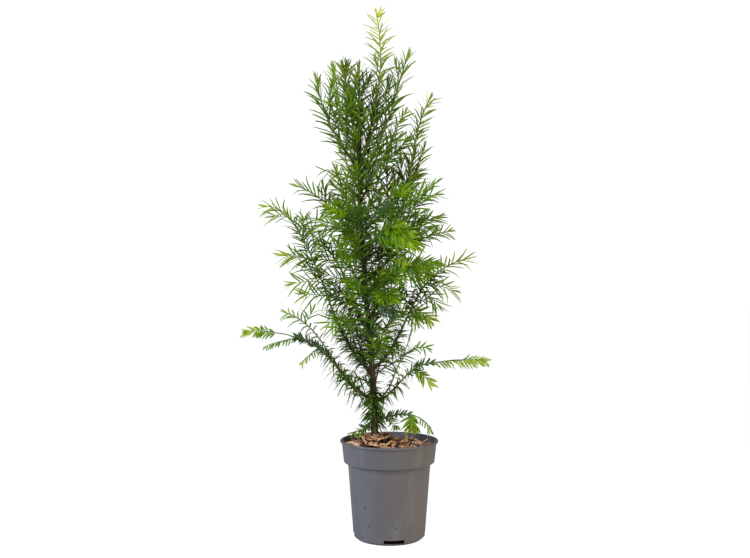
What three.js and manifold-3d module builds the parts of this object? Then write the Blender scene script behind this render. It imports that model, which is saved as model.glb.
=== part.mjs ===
// A young english yew in its nursery pot, as separate solids: the pot, the potting mix, one whole
// trunk, the main boughs and the masses of needles round its shoots.
// Millimetres, +Z up. The origin is the middle of the pot's flat underside.
import * as THREE from "three";
import { mergeVertices } from "three/addons/utils/BufferGeometryUtils.js";
import Module from "manifold-3d";

const wasm = await Module();
wasm.setup();

// ---- Driving sizes ----------------------------------------------------------------------------
const GAP = 0.35; // clear space between neighbours that touch on the real plant
const TAU = Math.PI * 2;

const POT = {
  height: 158.5,
  rimRadius: 80,
  lipHeight: 3,
  collarTop: 77.4,
  collarFoot: 74,
  collarHeight: 35,
  bodyTop: 67.6,
  bodyFoot: 58.6,
  footRadius: 55.5,
  cornerHeight: 5,
  cornerLow: 2, // the corner's rounding, as a chamfer: its height and its inset
  cornerInset: 0.6,
  wall: 1.6,
  floor: 2,
  facets: 40,
};
const DRAIN = { count: 4, firstAngle: -83, width: 33, height: 6.4, low: 3, depth: 18 };

const MIX = {
  edge: 147,
  footing: 160.6, // top of the mound, where the trunk stands
  footingRadius: 13,
  moundRadius: 62,
  innerRing: 10.4,
  facets: 24,
  rings: 5,
  roughness: 0.9,
  lumpLength: new THREE.Vector2(7, 9),
  floorClear: 4.6, // how far it stays off the wall at the floor, above the corner and at the ledge
  cornerClear: 1.5,
  cornerRise: 3,
  ledgeStep: 0.5,
  edgeDrop: 3, // the wall ring below the top's edge
};

const TRUNK = {
  foot: new THREE.Vector3(-23.5, 20, 161),
  lean: new THREE.Vector2(-26, -20),
  leanTop: 600,
  tip: 778,
  footRadius: 5.3,
  tipRadius: 1.3,
  flare: 2.6,
  flareHeight: 14,
  sides: 8,
  steps: 15,
  crowding: 1.25, // rings stand closer towards the foot
};

// Every shoot leaves the trunk at height `at`. `heading` is its direction in plan, in degrees from
// +X towards +Y, and `turn` is how far that swings by the tip. `rise` is its slope at the start and
// at the tip, and `belly` steepens the middle. `needles` is where the foliage starts, as a fraction
// of the length, with the half width and half thickness of the mass. `bough` is the thickness of a
// limb that shows as bare wood before the foliage, and `sides` are smaller shoots within the mass,
// each leaving at a fraction of the length at an angle to the shoot.
const SHOOTS = {
  top_leader: {
    at: 597, heading: 20, turn: 14, length: 261, rise: [72, 101], belly: -6,
    needles: [0.1, 20, 18],
  },
  right_front_leader: {
    at: 586, heading: -16, turn: 3, length: 207, rise: [50, 70], belly: 11,
    needles: [0.14, 20, 17], sides: [[0.42, 25, 84, 86]],
  },
  front_leader: {
    at: 546, heading: -46, turn: 18, length: 164, rise: [49, 58], belly: 5,
    needles: [0.16, 20, 16], sides: [[0.3, 48, 56, 48], [0.24, 62, 56, 26]],
  },
  left_leader: {
    at: 597, heading: -176, turn: 2, length: 160, rise: [57, 82], belly: -8,
    needles: [0.14, 23, 18], sides: [[0.6, 170, 70, 84]],
  },
  left_front_leader: {
    at: 604, heading: -123, turn: -20, length: 159, rise: [38, 75], belly: 17,
    needles: [0.18, 18, 16],
  },
  left_back_leader: {
    at: 617, heading: 120, turn: 16, length: 162, rise: [72, 77], belly: -1,
    needles: [0.14, 18, 16],
  },
  back_leader: {
    at: 566, heading: 91, turn: -69, length: 188, rise: [59, 64], belly: 31,
    needles: [0.3, 18, 15],
  },
  right_outer_leader: {
    at: 476, heading: 10, turn: -7, length: 279, rise: [15, 61], belly: 42,
    needles: [0.24, 20, 15], bough: 4.2, sides: [[0.3, -8, 54, 44], [0.42, 25, 78, 80], [0.3, 168, 90, 84]],
  },
  right_back_leader: {
    at: 500, heading: 29, turn: -10, length: 185, rise: [32, 73], belly: -3,
    needles: [0.2, 19, 14], sides: [[0.34, 92, 84, 84], [0.5, -5, 60, 54]],
  },
  left_upper: {
    at: 472, heading: 160, turn: 15, length: 155, rise: [56, 25], belly: 9,
    needles: [0.2, 21, 12], bough: 3.6, sides: [[0.3, 25, 54, 46], [0.5, 20, 36, 34], [0.12, 40, 96, 40]],
  },
  left_small: {
    at: 551, heading: -166, turn: -10, length: 74, rise: [58, 23], belly: 0,
    needles: [0.14, 18, 11],
  },
  left_long: {
    at: 262, heading: -169, turn: -30, length: 345, rise: [43, 32], belly: 34,
    needles: [0.16, 22, 12], bough: 5,
    sides: [[0.53, 10, 62, 8], [0.43, 8, 56, 4], [0.35, 10, 40, 8], [0.64, -60, 52, 50]],
  },
  left_middle: {
    at: 331, heading: -171, turn: 1, length: 188, rise: [54, 33], belly: 26,
    needles: [0.18, 21, 12], bough: 4.6,
    sides: [[0.74, 42, 50, 34], [0.5, -4, 54, 24], [0.3, 8, 52, 30], [0.34, -130, 54, 56]],
  },
  left_low_upper: {
    at: 222, heading: -172, turn: -25, length: 211, rise: [22, 14], belly: 40,
    needles: [0.28, 19, 10], bough: 4.2,
  },
  left_low: {
    at: 217, heading: -148, turn: -30, length: 260, rise: [37, -14], belly: 28,
    needles: [0.14, 16, 10], bough: 4.6, sides: [[0.66, -4, 64, -16], [0.54, 2, 42, -38]],
  },
  right_long: {
    at: 270, heading: -5, turn: 13, length: 251, rise: [43, 9], belly: 37,
    needles: [0.2, 21, 12], bough: 5,
    sides: [[0.66, -2, 62, -6], [0.5, -12, 52, -14], [0.76, -150, 46, 16], [0.7, 56, 50, 6]],
  },
  right_low: {
    at: 212, heading: -33, turn: 34, length: 216, rise: [45, -21], belly: 15,
    needles: [0.16, 15, 9], bough: 4.6, sides: [[0.43, 8, 58, -26]],
  },
  right_middle: {
    at: 416, heading: -21, turn: 26, length: 165, rise: [44, 6], belly: 9,
    needles: [0.2, 21, 12], bough: 4, sides: [[0.4, -30, 54, 26], [0.6, 10, 44, 30], [0.4, -55, 48, -18]],
  },
  right_upper_front: {
    at: 456, heading: -20, turn: 9, length: 169, rise: [19, 42], belly: 22,
    needles: [0.2, 22, 13], bough: 3.8, sides: [[0.46, 6, 62, 6], [0.46, -175, 54, 66]],
  },
  right_upper_back: {
    at: 445, heading: 20, turn: -12, length: 152, rise: [10, 5], belly: 38,
    needles: [0.14, 22, 14], sides: [[0.4, -20, 46, 36]],
  },
  right_inner: {
    at: 394, heading: -40, turn: 35, length: 139, rise: [40, -12], belly: 12,
    needles: [0.14, 20, 13], sides: [[0.7, 30, 36, 24]],
  },
  right_thin: {
    at: 220, heading: -37, turn: 20, length: 144, rise: [15, -19], belly: 69,
    needles: [0.26, 13, 8], bough: 3,
  },
  foot_right: {
    at: 187, heading: -23, turn: 3, length: 113, rise: [19, -69], belly: 26,
    needles: [0.2, 12, 8], bough: 3, sides: [[0.56, -50, 24, -68]],
  },
  foot_left: {
    at: 178, heading: -156, turn: -2, length: 44, rise: [-14, -10], belly: 0,
    needles: [0.2, 10, 6],
  },
  front_upper_right: {
    at: 477, heading: -77, turn: 40, length: 138, rise: [44, 16], belly: 10,
    needles: [0.1, 22, 15], sides: [[0.86, -18, 44, -22]],
  },
  front_right: {
    at: 436, heading: -70, turn: 6, length: 132, rise: [62, 0], belly: 0,
    needles: [0.14, 22, 15], sides: [[0.86, 35, 52, -2], [0.8, -45, 46, 0], [0.94, 32, 54, -34]],
  },
  front_upper_left: {
    at: 458, heading: -98, turn: -27, length: 118, rise: [50, 28], belly: 4,
    needles: [0.1, 22, 15], sides: [[0.8, -45, 42, 0], [0.4, -42, 54, 4]],
  },
  front_middle: {
    at: 370, heading: -62, turn: 4, length: 116, rise: [60, 6], belly: 0,
    needles: [0.24, 22, 15], sides: [[0.8, 20, 38, -4]],
  },
  front_left: {
    at: 358, heading: -104, turn: -6, length: 120, rise: [58, 4], belly: 0,
    needles: [0.26, 22, 15], sides: [[0.7, 28, 42, 2]],
  },
  front_lower_right: {
    at: 346, heading: -71, turn: 6, length: 118, rise: [60, -4], belly: 0,
    needles: [0.24, 22, 15], sides: [[0.5, 38, 46, -26], [0.8, -42, 40, -8]],
  },
  front_lower_left: {
    at: 300, heading: -116, turn: -6, length: 124, rise: [58, 4], belly: 0,
    needles: [0.18, 22, 13], sides: [[0.8, -30, 46, -4], [0.6, 40, 50, 20]],
  },
  front_low: {
    at: 246, heading: -150, turn: 4, length: 62, rise: [30, 6], belly: 0,
    needles: [0.16, 18, 12],
  },
  back_low_right: {
    at: 236, heading: 76, turn: 6, length: 176, rise: [46, -4], belly: 6,
    needles: [0.24, 19, 10], bough: 4.2, sides: [[0.5, -35, 60, 10], [0.6, 38, 56, 8]],
  },
  back_low_left: {
    at: 250, heading: 112, turn: -4, length: 176, rise: [40, 2], belly: 16,
    needles: [0.24, 19, 10], bough: 4.2, sides: [[0.5, 30, 58, 8], [0.6, -38, 54, 6]],
  },
  back_lower: {
    at: 305, heading: 84, turn: 6, length: 196, rise: [40, 8], belly: 30,
    needles: [0.2, 22, 13], bough: 4.4, sides: [[0.45, 34, 64, 14], [0.55, -36, 60, 12]],
  },
  back_middle_right: {
    at: 352, heading: 56, turn: 6, length: 160, rise: [44, 14], belly: 24,
    needles: [0.14, 21, 13], sides: [[0.5, 32, 58, 20]],
  },
  back_middle_left: {
    at: 378, heading: 124, turn: -6, length: 160, rise: [46, 16], belly: 22,
    needles: [0.14, 21, 13], sides: [[0.5, -32, 58, 20]],
  },
  back_upper: {
    at: 428, heading: 92, turn: -8, length: 160, rise: [48, 30], belly: 16,
    needles: [0.14, 21, 14], sides: [[0.45, 36, 54, 26]],
  },
  back_upper_right: {
    at: 500, heading: 62, turn: -10, length: 146, rise: [50, 60], belly: 6,
    needles: [0.14, 20, 16],
  },
  back_upper_left: {
    at: 478, heading: 122, turn: 8, length: 150, rise: [50, 58], belly: 8,
    needles: [0.14, 20, 16],
  },
};

const SECOND_LEADER = { from: 640, to: 790, halfWidth: 18 };
const TRUNK_COLLAR = { from: 177, to: 246, halfWidth: 19 }; // needles on the trunk below the boughs

const PATH_STEPS = 24;
const BARK = { tip: 0.75, sides: 6, stepLength: 26 };
const FOLIAGE = {
  sides: 6,
  sideShootSides: 4,
  stepLength: 46,
  fewestSteps: 2,
  uneven: 0.16,
  unevenAlong: 2.3, // turn of the unevenness from ring to ring and from side to side
  unevenRound: 2.9,
  rootShare: 0.3,
  rootFullness: 0.35,
  tipShare: 0.22,
  tipClosing: 0.9,
  pastTip: 12, // needles reach this far past the end of their twig
  slack: 1.3, // a slanting face needs more than the gap to stay clear by it
};
const SIDE_SHOOT = { width: 0.85, droop: 14 };

// ---- Growth -------------------------------------------------------------------------------------
const radians = THREE.MathUtils.degToRad;
const smooth = THREE.MathUtils.smoothstep;

/** The middle of the trunk at height z: upright at the foot and the tip, leaning between them. */
function trunkAxis(z) {
  const lean = smooth(z, TRUNK.foot.z, TRUNK.leanTop);
  return new THREE.Vector3(
    TRUNK.foot.x + TRUNK.lean.x * lean,
    TRUNK.foot.y + TRUNK.lean.y * lean,
    z,
  );
}

function trunkRadius(z) {
  const share = (z - TRUNK.foot.z) / (TRUNK.tip - TRUNK.foot.z);
  const flare = TRUNK.flare * Math.exp(-(z - TRUNK.foot.z) / (TRUNK.flareHeight / 2));
  return THREE.MathUtils.lerp(TRUNK.footRadius, TRUNK.tipRadius, share) + flare;
}

/** The path of a shoot from `start`: its heading swings evenly and its rise runs root to tip. */
function growPath(start, { heading, turn, length, rise, belly }) {
  const points = [start.clone()];
  for (let i = 0; i < PATH_STEPS; i += 1) {
    const u = (i + 0.5) / PATH_STEPS;
    const h = radians(heading + turn * u);
    const slope = radians(THREE.MathUtils.lerp(rise[0], rise[1], u) + belly * Math.sin(Math.PI * u));
    const step = new THREE.Vector3(
      Math.cos(slope) * Math.cos(h),
      Math.cos(slope) * Math.sin(h),
      Math.sin(slope),
    ).multiplyScalar(length / PATH_STEPS);
    points.push(points.at(-1).clone().add(step));
  }
  return new THREE.CatmullRomCurve3(points);
}

/** The direction level with the ground and square to a shoot, at fraction u of it. */
function levelSide({ heading, turn }, u) {
  const h = radians(heading + turn * u);
  return new THREE.Vector3(-Math.sin(h), Math.cos(h), 0);
}

// ---- Solids -------------------------------------------------------------------------------------
/** A closed solid through rings of points, each ring facing the next, with flat ends. */
function loft(rings) {
  const sides = rings[0].length;
  const vertices = rings.flat();
  const faces = [];
  for (let i = 0; i < rings.length - 1; i += 1) {
    for (let j = 0; j < sides; j += 1) {
      const a = i * sides + j;
      const b = i * sides + ((j + 1) % sides);
      faces.push(a, b, b + sides, a, b + sides, a + sides);
    }
  }
  const last = (rings.length - 1) * sides;
  for (let j = 1; j < sides - 1; j += 1) {
    faces.push(0, j + 1, j);
    faces.push(last, last + j, last + j + 1);
  }
  const geometry = new THREE.BufferGeometry().setFromPoints(vertices);
  geometry.setIndex(faces);
  return geometry;
}

/** One ring of points round `centre`, on an ellipse spanned by `side` and `over`. */
function ellipseRing(centre, side, over, halfWidth, halfThickness, count, swell = () => 1) {
  return Array.from({ length: count }, (_, j) => {
    const angle = (TAU * (j + 0.5)) / count;
    const reach = swell(j);
    return centre
      .clone()
      .addScaledVector(side, Math.cos(angle) * halfWidth * reach)
      .addScaledVector(over, Math.sin(angle) * halfThickness * reach);
  });
}

function toManifold(geometry) {
  const bare = geometry.clone();
  bare.deleteAttribute("normal");
  bare.deleteAttribute("uv");
  const merged = mergeVertices(bare, 1e-4);
  return new wasm.Manifold(
    new wasm.Mesh({
      numProp: 3,
      vertProperties: new Float32Array(merged.attributes.position.array),
      triVerts: new Uint32Array(merged.index.array),
    }),
  );
}

function toGeometry(solid) {
  const mesh = solid.getMesh();
  const geometry = new THREE.BufferGeometry();
  geometry.setAttribute("position", new THREE.BufferAttribute(new Float32Array(mesh.vertProperties), 3));
  geometry.setIndex(Array.from(mesh.triVerts));
  geometry.computeVertexNormals();
  return geometry;
}

/** What is left of a solid when its neighbours are cut away: its largest piece. */
function cutBy(solid, neighbours) {
  const left = neighbours.reduce((rest, other) => rest.subtract(other), solid);
  const pieces = left.decompose();
  return pieces.reduce((best, piece) => (piece.volume() > best.volume() ? piece : best));
}

function trunkSolid(extra = 0) {
  const rings = [];
  for (let i = 0; i <= TRUNK.steps; i += 1) {
    const share = i === 0 ? 0 : (i / TRUNK.steps) ** TRUNK.crowding;
    const z = THREE.MathUtils.lerp(TRUNK.foot.z, TRUNK.tip, share);
    const radius = trunkRadius(z) + extra;
    const side = new THREE.Vector3(1, 0, 0);
    const over = new THREE.Vector3(0, 1, 0);
    rings.push(ellipseRing(trunkAxis(z), side, over, radius, radius, TRUNK.sides));
  }
  return toManifold(loft(rings));
}

/** A tapering bough, from inside the trunk to a little inside its foliage. */
function boughSolid(path, shoot, extra = 0) {
  const reach = shoot.needles[0];
  const steps = Math.max(3, Math.ceil((shoot.length * reach) / BARK.stepLength) + 1);
  const rings = [];
  for (let i = 0; i <= steps; i += 1) {
    const u = (reach * i) / steps;
    const side = levelSide(shoot, u);
    const over = path.getTangentAt(u).cross(side);
    const radius = THREE.MathUtils.lerp(shoot.bough / 2, BARK.tip, u) + extra;
    rings.push(ellipseRing(path.getPointAt(u), side, over, radius, radius, BARK.sides));
  }
  return toManifold(loft(rings));
}

/** How full a mass is at fraction v of its length: narrow at its root, full, then closing to its tip. */
function fullness(v) {
  const root = THREE.MathUtils.lerp(FOLIAGE.rootFullness, 1, smooth(v, 0, FOLIAGE.rootShare));
  const tip = Math.sqrt(1 - smooth(v, 1 - FOLIAGE.tipShare, 1) * FOLIAGE.tipClosing);
  return root * tip;
}

/** One uneven spindle of foliage along a path, from fraction `from` of it to its tip. */
function plume(path, frame, from, halfWidth, halfThickness, sides, seed, extra) {
  const length = path.getLength() * (1 - from);
  const steps = Math.max(FOLIAGE.fewestSteps, Math.round(length / FOLIAGE.stepLength));
  const rings = [];
  for (let i = 0; i <= steps; i += 1) {
    const v = i / steps;
    const u = from + (1 - from) * v;
    const side = levelSide(frame, u);
    const tangent = path.getTangentAt(u);
    const over = tangent.clone().cross(side);
    const full = fullness(v);
    const turned = FOLIAGE.unevenAlong * i + seed;
    const swell = (j) => 1 + FOLIAGE.uneven * Math.sin(turned + FOLIAGE.unevenRound * j);
    const past = smooth(v, 1 - FOLIAGE.tipShare, 1) * FOLIAGE.pastTip;
    const ends = i === 0 ? -extra : i === steps ? past + extra : past;
    rings.push(
      ellipseRing(
        path.getPointAt(u).addScaledVector(tangent, ends),
        side,
        over,
        halfWidth * full + extra * FOLIAGE.slack,
        halfThickness * full + extra * FOLIAGE.slack,
        sides,
        swell,
      ),
    );
  }
  return toManifold(loft(rings));
}

/** A shoot's whole mass of foliage: its own spindle joined with those of its side shoots. */
function massSolid(path, shoot, seed, extra = 0) {
  const [from, halfWidth, halfThickness] = shoot.needles;
  let solid = plume(path, shoot, from, halfWidth, halfThickness, FOLIAGE.sides, seed, extra);
  for (const [at, angle, length, rise] of shoot.sides ?? []) {
    const side = {
      heading: shoot.heading + shoot.turn * at + angle,
      turn: 0,
      length,
      rise: [rise, rise - SIDE_SHOOT.droop],
      belly: 0,
    };
    const sidePath = growPath(path.getPointAt(at), side);
    const width = halfWidth * SIDE_SHOOT.width;
    const thickness = halfThickness * SIDE_SHOOT.width;
    solid = solid.add(
      plume(sidePath, side, 0, width, thickness, FOLIAGE.sideShootSides, seed + at, extra),
    );
  }
  return solid;
}

/** The foliage round a stretch of the trunk itself. */
function sleeveSolid({ from, to, halfWidth }, extra = 0) {
  const path = new THREE.LineCurve3(trunkAxis(from), trunkAxis(to));
  const frame = { heading: 0, turn: 0 };
  return plume(path, frame, 0, halfWidth, halfWidth, FOLIAGE.sides, from, extra);
}

// ---- Pot and potting mix ------------------------------------------------------------------------
/** The radius of the pot's inner wall at height z. */
function potInside(z) {
  const collarFoot = POT.height - POT.collarHeight;
  if (z > collarFoot) {
    const share = (z - collarFoot) / POT.collarHeight;
    return THREE.MathUtils.lerp(POT.collarFoot, POT.collarTop, share) - POT.wall;
  }
  const share = (z - POT.cornerHeight) / (collarFoot - POT.cornerHeight);
  return THREE.MathUtils.lerp(POT.bodyFoot, POT.bodyTop, Math.max(0, share)) - POT.wall;
}

/** The nursery pot: a tapered shell with a stepped collar, a thin lip and drain slots at its foot. */
function potGeometry() {
  const collarFoot = POT.height - POT.collarHeight;
  const profile = [
    [0, 0],
    [POT.footRadius, 0],
    [POT.bodyFoot - POT.cornerInset, POT.cornerLow],
    [POT.bodyFoot, POT.cornerHeight],
    [POT.bodyTop, collarFoot],
    [POT.collarFoot, collarFoot],
    [POT.collarTop, POT.height - POT.lipHeight],
    [POT.rimRadius, POT.height - POT.lipHeight],
    [POT.rimRadius, POT.height],
    [POT.collarTop - POT.wall, POT.height],
    [potInside(collarFoot + POT.wall), collarFoot + POT.wall],
    [potInside(collarFoot), collarFoot + POT.wall],
    [potInside(POT.cornerHeight), POT.cornerHeight],
    [POT.footRadius - POT.cornerInset, POT.floor],
    [0, POT.floor],
  ].map(([r, z]) => new THREE.Vector2(r, z));
  const shell = new THREE.LatheGeometry(profile, POT.facets);
  shell.rotateX(Math.PI / 2);
  let solid = toManifold(shell);
  for (let i = 0; i < DRAIN.count; i += 1) {
    const angle = radians(DRAIN.firstAngle) + (TAU * i) / DRAIN.count;
    const slot = new THREE.BoxGeometry(DRAIN.depth, DRAIN.width, DRAIN.height);
    slot.translate(POT.footRadius, 0, DRAIN.low + DRAIN.height / 2);
    slot.rotateZ(angle);
    solid = solid.subtract(toManifold(slot));
  }
  return toGeometry(solid);
}

/** The height of the mix at a point: an uneven mound up to the trunk's footing. */
function mixTop(x, y) {
  const away = Math.hypot(x - TRUNK.foot.x, y - TRUNK.foot.y);
  const mound = 1 - smooth(away, MIX.footingRadius, MIX.moundRadius);
  const wave = Math.sin(x / MIX.lumpLength.x) * Math.cos(y / MIX.lumpLength.y);
  const lumps = away > MIX.footingRadius ? MIX.roughness * wave : 0;
  return THREE.MathUtils.lerp(MIX.edge, MIX.footing, mound) + lumps;
}

/** The potting mix that fills the pot, in rings from its floor up the wall and over the mound. */
function mixGeometry() {
  const clear = GAP;
  const foot = POT.floor + clear;
  const ledge = POT.height - POT.collarHeight + POT.wall;
  const ring = (radius, height) =>
    Array.from({ length: MIX.facets }, (_, j) => {
      const angle = (TAU * j) / MIX.facets;
      return height(radius * Math.cos(angle), radius * Math.sin(angle));
    });
  const level = (z) => (x, y) => new THREE.Vector3(x, y, z);
  const fit = Math.cos(Math.PI / MIX.facets);
  const wallRadius = potInside(MIX.edge) * fit - clear;
  const bodyRadius = potInside(ledge - POT.wall) * fit - clear;
  const rings = [
    ring(POT.footRadius * fit - MIX.floorClear, level(foot)),
    ring(potInside(POT.cornerHeight) * fit - MIX.cornerClear, level(POT.cornerHeight + MIX.cornerRise)),
    ring(bodyRadius, level(ledge - 2 * MIX.ledgeStep)),
    ring(bodyRadius, level(ledge + clear)),
    ring(potInside(ledge) * fit - clear, level(ledge + clear + MIX.ledgeStep)),
    ring(wallRadius, level(MIX.edge - MIX.edgeDrop)),
  ];
  for (let i = MIX.rings; i >= 1; i -= 1) {
    const share = i / MIX.rings;
    // The rings close in on the trunk's footing.
    const centreX = TRUNK.foot.x * (1 - share);
    const centreY = TRUNK.foot.y * (1 - share);
    const radius = THREE.MathUtils.lerp(MIX.innerRing, wallRadius, (i - 1) / (MIX.rings - 1));
    rings.push(
      ring(radius, (x, y) => {
        const px = x + centreX;
        const py = y + centreY;
        return new THREE.Vector3(px, py, mixTop(px, py));
      }),
    );
  }
  return loft(rings);
}

// ---- Assembly -----------------------------------------------------------------------------------
const FINISH = {
  pot: new THREE.MeshStandardMaterial({ color: 0x686a6e, roughness: 0.55, metalness: 0 }),
  mix: new THREE.MeshStandardMaterial({ color: 0xa97a52, roughness: 0.95, metalness: 0 }),
  bark: new THREE.MeshStandardMaterial({ color: 0x5a3a2c, roughness: 0.85, metalness: 0 }),
  needles: new THREE.MeshStandardMaterial({ color: 0x4f8a24, roughness: 0.5, metalness: 0 }),
};

const plant = new THREE.Group();

function place(name, geometry, material) {
  const mesh = new THREE.Mesh(geometry, material);
  mesh.name = name;
  plant.add(mesh);
}

place("pot", potGeometry(), FINISH.pot);
place("potting_mix", mixGeometry(), FINISH.mix);

const trunk = trunkSolid();
const roundTrunk = trunkSolid(GAP);
place("trunk", toGeometry(trunk), FINISH.bark);

const shoots = Object.entries(SHOOTS).map(([name, shoot], i) => ({
  name,
  shoot,
  seed: 1.7 * i,
  path: growPath(trunkAxis(shoot.at), shoot),
}));

// Boughs keep clear of the trunk and of each other.
const roundBoughs = [];
for (const { name, shoot, path } of shoots.filter((entry) => entry.shoot.bough)) {
  const bough = cutBy(boughSolid(path, shoot), [roundTrunk, ...roundBoughs]);
  place(`bough_${name}`, toGeometry(bough), FINISH.bark);
  roundBoughs.push(boughSolid(path, shoot, GAP));
}

// Each mass is cut round the trunk, every bough and the masses made before it.
const roundMasses = [];
function placeMass(name, solid, roundSolid) {
  const mass = cutBy(solid, [roundTrunk, ...roundBoughs, ...roundMasses]);
  place(`needles_${name}`, toGeometry(mass), FINISH.needles);
  roundMasses.push(roundSolid);
}

placeMass("second_leader", sleeveSolid(SECOND_LEADER), sleeveSolid(SECOND_LEADER, GAP));
for (const { name, shoot, path, seed } of shoots) {
  placeMass(name, massSolid(path, shoot, seed), massSolid(path, shoot, seed, GAP));
}

placeMass("trunk_collar", sleeveSolid(TRUNK_COLLAR), sleeveSolid(TRUNK_COLLAR, GAP));

export default plant;
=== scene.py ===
"""A young english yew in its nursery pot: stem, boughs, twigs, needles, mulch and pot.

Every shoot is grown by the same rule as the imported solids, and twigs and needles then grow on from it by
seeded rules. Lengths are in millimetres in the tables and become metres through MM; angles are in degrees.
"""
import math

import bpy
import numpy as np
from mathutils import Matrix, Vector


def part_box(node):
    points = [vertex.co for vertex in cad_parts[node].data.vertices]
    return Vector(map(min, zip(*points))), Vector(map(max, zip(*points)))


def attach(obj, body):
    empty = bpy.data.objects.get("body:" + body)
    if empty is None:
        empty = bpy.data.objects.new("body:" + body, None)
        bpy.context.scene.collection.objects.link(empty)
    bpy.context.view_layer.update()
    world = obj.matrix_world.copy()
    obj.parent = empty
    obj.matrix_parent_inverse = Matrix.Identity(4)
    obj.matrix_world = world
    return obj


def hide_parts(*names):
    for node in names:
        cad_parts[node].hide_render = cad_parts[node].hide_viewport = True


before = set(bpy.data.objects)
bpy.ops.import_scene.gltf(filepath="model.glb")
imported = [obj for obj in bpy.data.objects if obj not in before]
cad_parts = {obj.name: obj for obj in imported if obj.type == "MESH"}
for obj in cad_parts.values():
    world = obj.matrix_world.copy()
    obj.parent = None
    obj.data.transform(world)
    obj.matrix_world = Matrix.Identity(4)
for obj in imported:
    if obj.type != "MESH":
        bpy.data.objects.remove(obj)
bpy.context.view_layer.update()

MM = 0.001
GOLDEN = 137.508  # the golden angle, by which needles and shoots turn round their stem
PHASES = 6.28  # random phases of sine waves run from 0 to this, in radians
# Each kind of growth has its own random numbers; one shoot's seed is a step on from the last one's.
SEEDS = dict(shoot=41, shoot_step=17, stem=48, chips=46, inner=541, trunk=1041)

# ---- Driving sizes ------------------------------------------------------------------------------
RIM, _, POT_HEIGHT = np.array(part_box("pot")[1])
COLLAR_HEIGHT = 35 * MM
COLLAR_FOOT = POT_HEIGHT - COLLAR_HEIGHT
# The pot's radii come in from its rim. `foot_ring`, `foot_edge` and `inner_foot` lie in from the foot's
# radius, and `body_rings` are heights over the drain slots. `waist` is how far in, and how far below the
# collar, the body's last rings lie. `oval` is how far out of round the pot is, in millimetres.
POT = dict(
    foot=RIM - 25.5 * MM,
    foot_ring=9 * MM,
    foot_edge=1 * MM,
    corner=6 * MM,
    corner_round=0.62,
    body_foot=RIM - 21.4 * MM,
    body_rings=np.array([0.6, 2, 12]) * MM,
    body_top=RIM - 12.4 * MM,
    waist=np.array([0.7, 8, 1.2]) * MM,
    collar_foot=RIM - 6.0 * MM,
    collar_top=RIM - 2.6 * MM,
    step_round=1.0 * MM,
    neck_round=0.8 * MM,
    lip_height=3.2 * MM,
    lip_round=0.9 * MM,
    inner_round=0.6 * MM,
    inner_foot=1.2 * MM,
    wall=1.5 * MM,
    floor=2 * MM,
    segments=144,
    oval=0.25,
    oval_turn=0.7,
)
LEDGE = COLLAR_FOOT + POT["wall"]
JUST_BELOW = 0.01 * MM  # puts a point under the ledge rather than on it
DRAIN = dict(count=4, first=-83, width=33 * MM, low=3 * MM, high=9.4 * MM, depth=12 * MM, corner=1.2 * MM)

TRUNK = dict(
    foot=np.array([-23.5, 20, 161]) * MM,
    lean=np.array([-26, -20]) * MM,
    lean_top=600 * MM,
    tip=np.array(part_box("trunk")[1])[2],
    foot_radius=5.3 * MM,
    tip_radius=1.0 * MM,
    flare=2.2 * MM,
    flare_height=7 * MM,
)
MIX = dict(edge=147 * MM, footing=160.4 * MM, footing_radius=13 * MM, mound_radius=62 * MM)

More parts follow.
